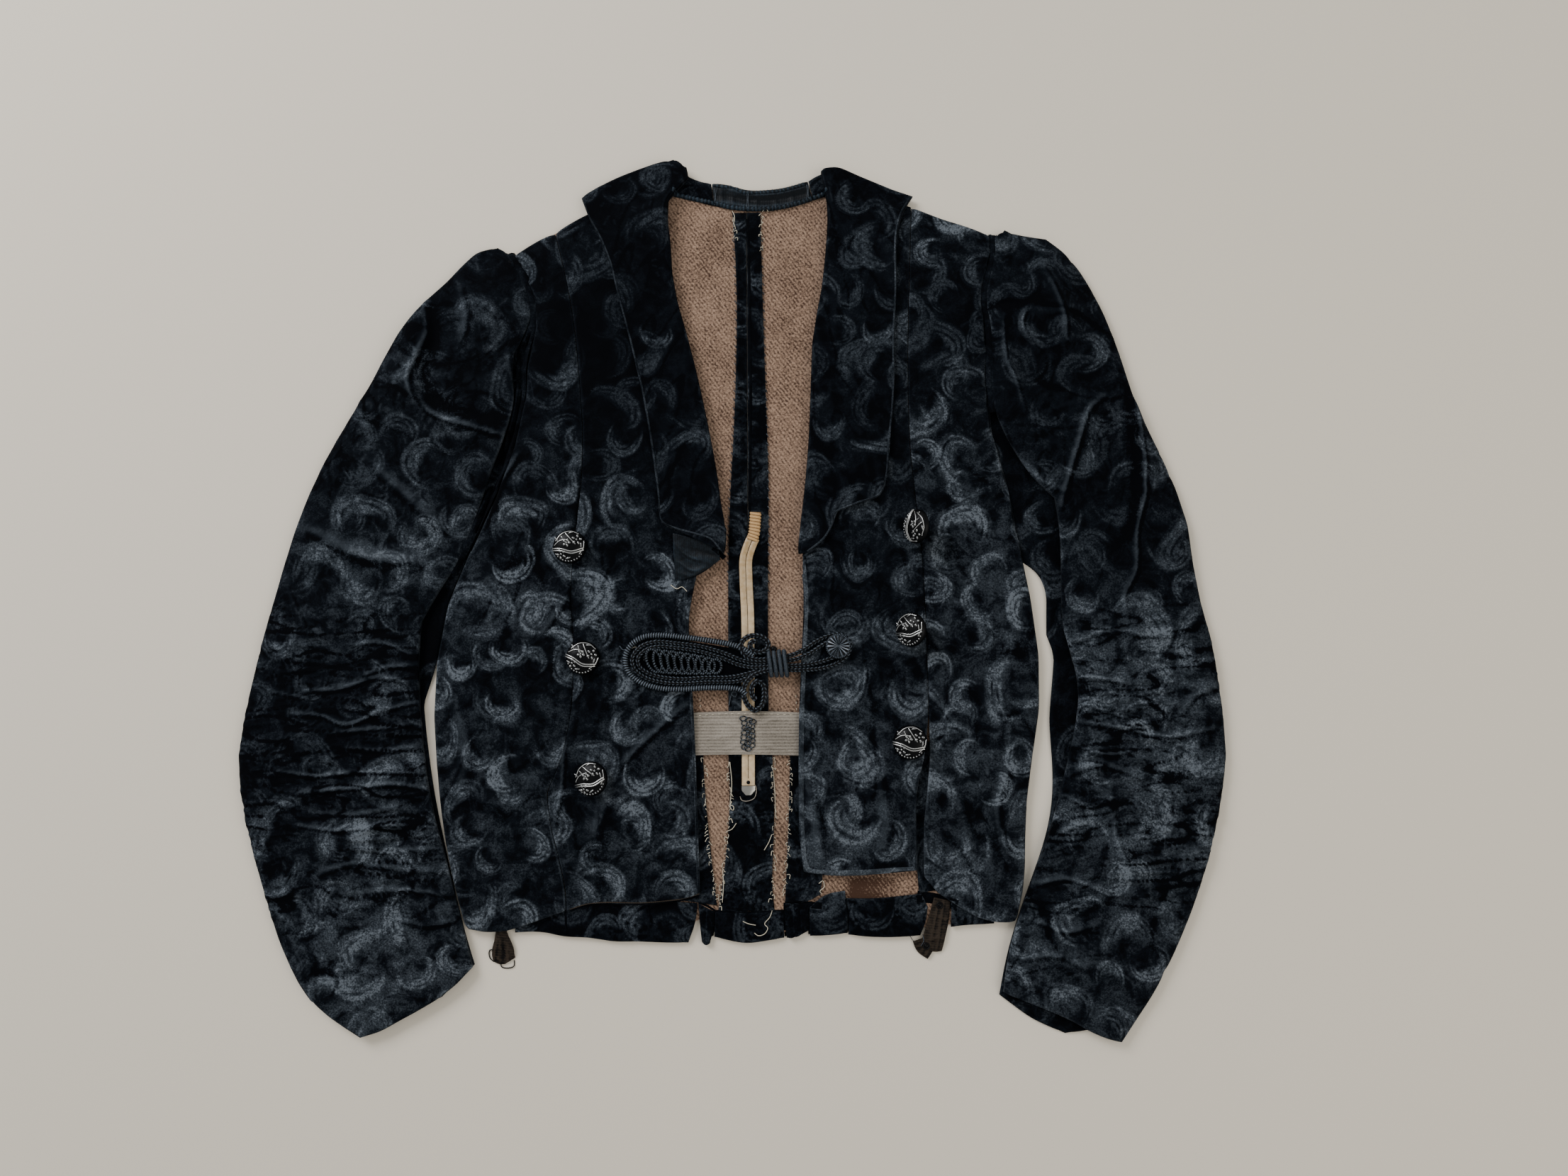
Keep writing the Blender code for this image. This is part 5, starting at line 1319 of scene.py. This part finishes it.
backSeam = [(15.6, 318), (17, 262), (17.6, 205), (17.6, 150), (16.6, 80), (15.2, 10)]
joins = [layStrip(line, 1.7, 0.5, anyHeight, 1.6, 4) for line in hemJoins]
joins += [layStrip(line, width, 0.4, anyHeight, 1.6, 6) for line, width in wideJoinsAndShade]
joins.append(layStrip([(-13, 40.4), (-8.5, 37), (-4, 32.6)], 4.0, 0.4, anyHeight, 1.0, 5))
joins.append(layStrip(leftHem, 1.7, 0.4, anyHeight, 1.6, 4))
joins.append(layStrip(backSeam, 2.4, 0.4, anyHeight, 2.0, 4))
sewBand("hem_joins_and_shade", joins, velvetReverse, "velvet_underside", 0.25)
print("bindings and stitches sewn")

# Neck band: gathered satin, tacked down at three places

neckEdges = {
    "neck_frill_upper": ([
        (-13, 346), (-4, 344.4), (4, 344.2), (12, 339.4), (22, 338.9), (30, 339.3), (46, 341),
        (64, 346)], 3.2),
    "neck_frill_lower": ([
        (-46, 339), (-30, 334.8), (-11, 330.4), (0, 327), (14, 325.2), (28, 324.8), (45, 326.4),
        (58, 329.6), (68, 333), (82, 338)], 3.2),
}
# Frills lighter along their tops and on each ruffle: painted highlight
for name, (points, width) in neckEdges.items():
    place(gather(name, [layStrip(points, width, 1.2, anyHeight, 0.7, 6, 0.45, stripLight=0.4)]), satin, "satin")
tacks = []
for x, low, high in ((-11, 329, 342), (16, 326, 340), (66, 332, 345)):
    for dx in (-0.8, 0.7):
        tack = [(x + dx, high), (x + dx * 0.5, (low + high) / 2), (x + dx, low)]
        tacks.append(layThread(tack, 0.24, anyHeight, 0.4))
place(gather("neck_tacks", tacks), thread, "satin")

# Centre-back bone, bound with thread above and tipped with metal below

boneShape = {
    # sections are offsets and heights above the bed
    "bed": 3.85,
    "foot": 14.7,  # where its lower end lies, across the plan
    "line": [(19.6, 49), (16.8, 43), (13.5, 32), (13.4, 16), (14.6, -14), (14.8, -60), (14.7, -149.5)],
    "section": [
        (-5.1, 0), (-5.2, 0.6), (-4.8, 1.05), (-1.1, 1.15), (-0.7, 0.75), (0.7, 0.75), (1.1, 1.15),
        (4.8, 1.05), (5.2, 0.6), (5.1, 0)],
    "groove": [(-0.2, 0.7), (-0.2, 0.82), (0.2, 0.82), (0.2, 0.7)],
    "tip": [(-5.2, 0), (-5.3, 0.9), (-4.4, 1.4), (0, 1.45), (4.4, 1.4), (5.3, 0.9), (5.2, 0)],
}


def sweep(points, section, step):
    # Body swept along a plan line
    line = evenLine(points, step, 4, 300)
    corners = []
    for point, out in zip(line, sideOf(line)):
        for offset, height in section:
            corners.append((*(point + out * offset), boneShape["bed"] + height))
    count = len(section)
    faces = []
    for i in range(len(line) - 1):
        for k in range(count):
            after = (k + 1) % count
            a = i * count
            faces.append((a + k, a + after, a + count + after, a + count + k))
    faces.append(tuple(range(count))[::-1])
    faces.append(tuple((len(line) - 1) * count + k for k in range(count)))
    return np.array(corners), faces, np.zeros(len(corners))


bed, foot, line = boneShape["bed"], boneShape["foot"], boneShape["line"]
points, faces, crest = sweep(line, boneShape["section"], 2.5)
crest = -0.5 * np.clip((points[:, 1] + 20) / 60, 0, 1)  # the upper end has yellowed
place(gather("horn_bone", [(points, faces, crest)]), horn, "bone", "bone")
groove = sweep([(19.4, 48.6), *line[1:-1], (foot, -144)], boneShape["groove"], 2.5)
place(gather("bone_groove", [groove]), thread, "bone")
rim = tubeMesh(ringRoute(foot, -147, bed + 1.1, 1.1, 20), 0.4, 6, closed=True)
hole = ball(foot, -147, bed + 0.95, (0.8, 0.8, 0.3))
place(gather("bone_eyelet", [rim, hole]), steel, "bone")
tip = sweep([(foot, -149.9), (foot, -153.4), (foot, -157)], boneShape["tip"], 0.5)
shrink = np.sqrt(np.clip((158 + tip[0][:, 1]) / 5, 0.1, 1))  # rounds off its end
tip[0][:, 0] = foot + (tip[0][:, 0] - foot) * shrink
place(gather("nickel_tip", [tip]), nickel, "nickel", "bone_tip")
route = flatRoute([(21.4, 69.6), (20.9, 61), (20.2, 53), (18.6, 46.6)], bed, 0.35)
wound = tubeMesh(route, 4.7, 20, windings(2.6))
wound[0][:, 2] = bed + 1.0 + (wound[0][:, 2] - bed) * 0.27  # pressed flat
place(gather("thread_winding", [wound]), waxed, "cord", "bone_winding")
print("bone bound")

# Ribbon ends of two side bones, with what is left of their hooks

ribbonCreases = [
    ([(-184, -268), (-186, -280), (-188, -291)], 1.4, 1.6),
    ([(-180, -270), (-179, -282), (-181, -290)], -1.3, 1.6),
    ([(-176, -276), (-175, -285), (-177, -292)], 1.2, 1.4),
    ([(-190, -278), (-184, -284), (-178, -286)], 0.9, 1.2),
    ([(168, -238), (165, -256), (161, -282)], 1.4, 1.5),
    ([(174, -240), (171, -260), (168, -282)], -1.3, 1.5),
    ([(163, -242), (159, -262), (156, -276)], 1.1, 1.2),
    ([(160, -250), (168, -254), (175, -252)], 0.9, 1.4),
    ([(156, -270), (163, -268), (170, -272)], 0.9, 1.2),
]
ribbons = []
for node in ("bone_end_left", "bone_end_right"):
    piece = dressPanel("ribbon_" + node, node, 1.0, ribbonCreases, ribbon, "ribbon", 61, 0.2, folded=1.0)
    ribbons.append(piece)
wires = {
    # stuff, slot, radius, routes
    "hook_wire": (steel, "nickel", 0.45, [
        [(-181, -287.4), (-180.6, -290), (-176, -291), (-171, -289.5), (-170.6, -285)],
        [(-186.6, -286), (-190, -283), (-190.4, -277.4), (-187, -276.2)]]),
    "ribbon_threads": (thread, "ribbon", 0.25, [
        [(141, -267), (144, -271.4), (149, -275)], [(149, -275), (151.4, -270.6), (151, -266)]]),
}
ribbonHeight = surfaceUnder(ribbons)
for name, (stuff, slot, radius, routes) in wires.items():
    place(gather(name, [layThread(route, radius, ribbonHeight, 0.3) for route in routes]), stuff, slot)
studs = []
for x, y in ((153.5, -274.5), (164.4, -243)):
    bed = ribbonHeight(x, y) + 0.5
    studs.append(tubeMesh(ringRoute(x, y, bed, 2.3, 24), 0.6, 8, closed=True))
    studs.append(ball(x, y, bed, (1.5, 1.5, 0.7)))
place(gather("press_studs", studs), steel, "nickel")
flap = layStrip([(147.5, -270), (150, -276), (157, -281)], 9.0, 0.7, lambda x, y: 1.4, 1.0, 9, 0.3, 1.2)
place(gather("ribbon_flap", [flap]), ribbon, "ribbon")
print("ribbon ends laid")

# Pale floor and soft studio light


def makeStage():
    bm = bmesh.new()
    bmesh.ops.create_grid(bm, x_segments=1, y_segments=1, size=3.0)
    mesh = bpy.data.meshes.new("floor")
    bm.to_mesh(mesh)
    bm.free()
    floor = addObject("floor", mesh)
    material, _, shader = newMaterial("paintedFloor")
    wire(shader, {"Base Color": (*linear("#e8dfcd"), 1), "Roughness": 0.8})
    mesh.materials.append(material)


studioLights = {
    # where it hangs in metres, its size, power and colour
    "windowLight": ((-1.6, 1.5, 1.5), 1.2, 55, "#fbfbff"),
    "fillLight": ((1.8, -0.6, 1.9), 1.6, 20, "#fffaf2"),
}


def lightStage():
    world = bpy.data.worlds.new("studio")
    bpy.context.scene.world = world
    world.use_nodes = True
    wire(world.node_tree.nodes["Background"], {"Color": (*linear("#f1f1f1"), 1), "Strength": 0.55})
    for name, (where, size, power, colour) in studioLights.items():
        lamp = bpy.data.lights.new(name, "AREA")
        lamp.size = size
        lamp.energy = power
        lamp.color = linear(colour)
        turn = (-Vector(where)).to_track_quat("-Z", "Y").to_matrix().to_4x4()
        addObject(name, lamp).matrix_world = Matrix.Translation(Vector(where)) @ turn


makeStage()
lightStage()
print("stage lit")
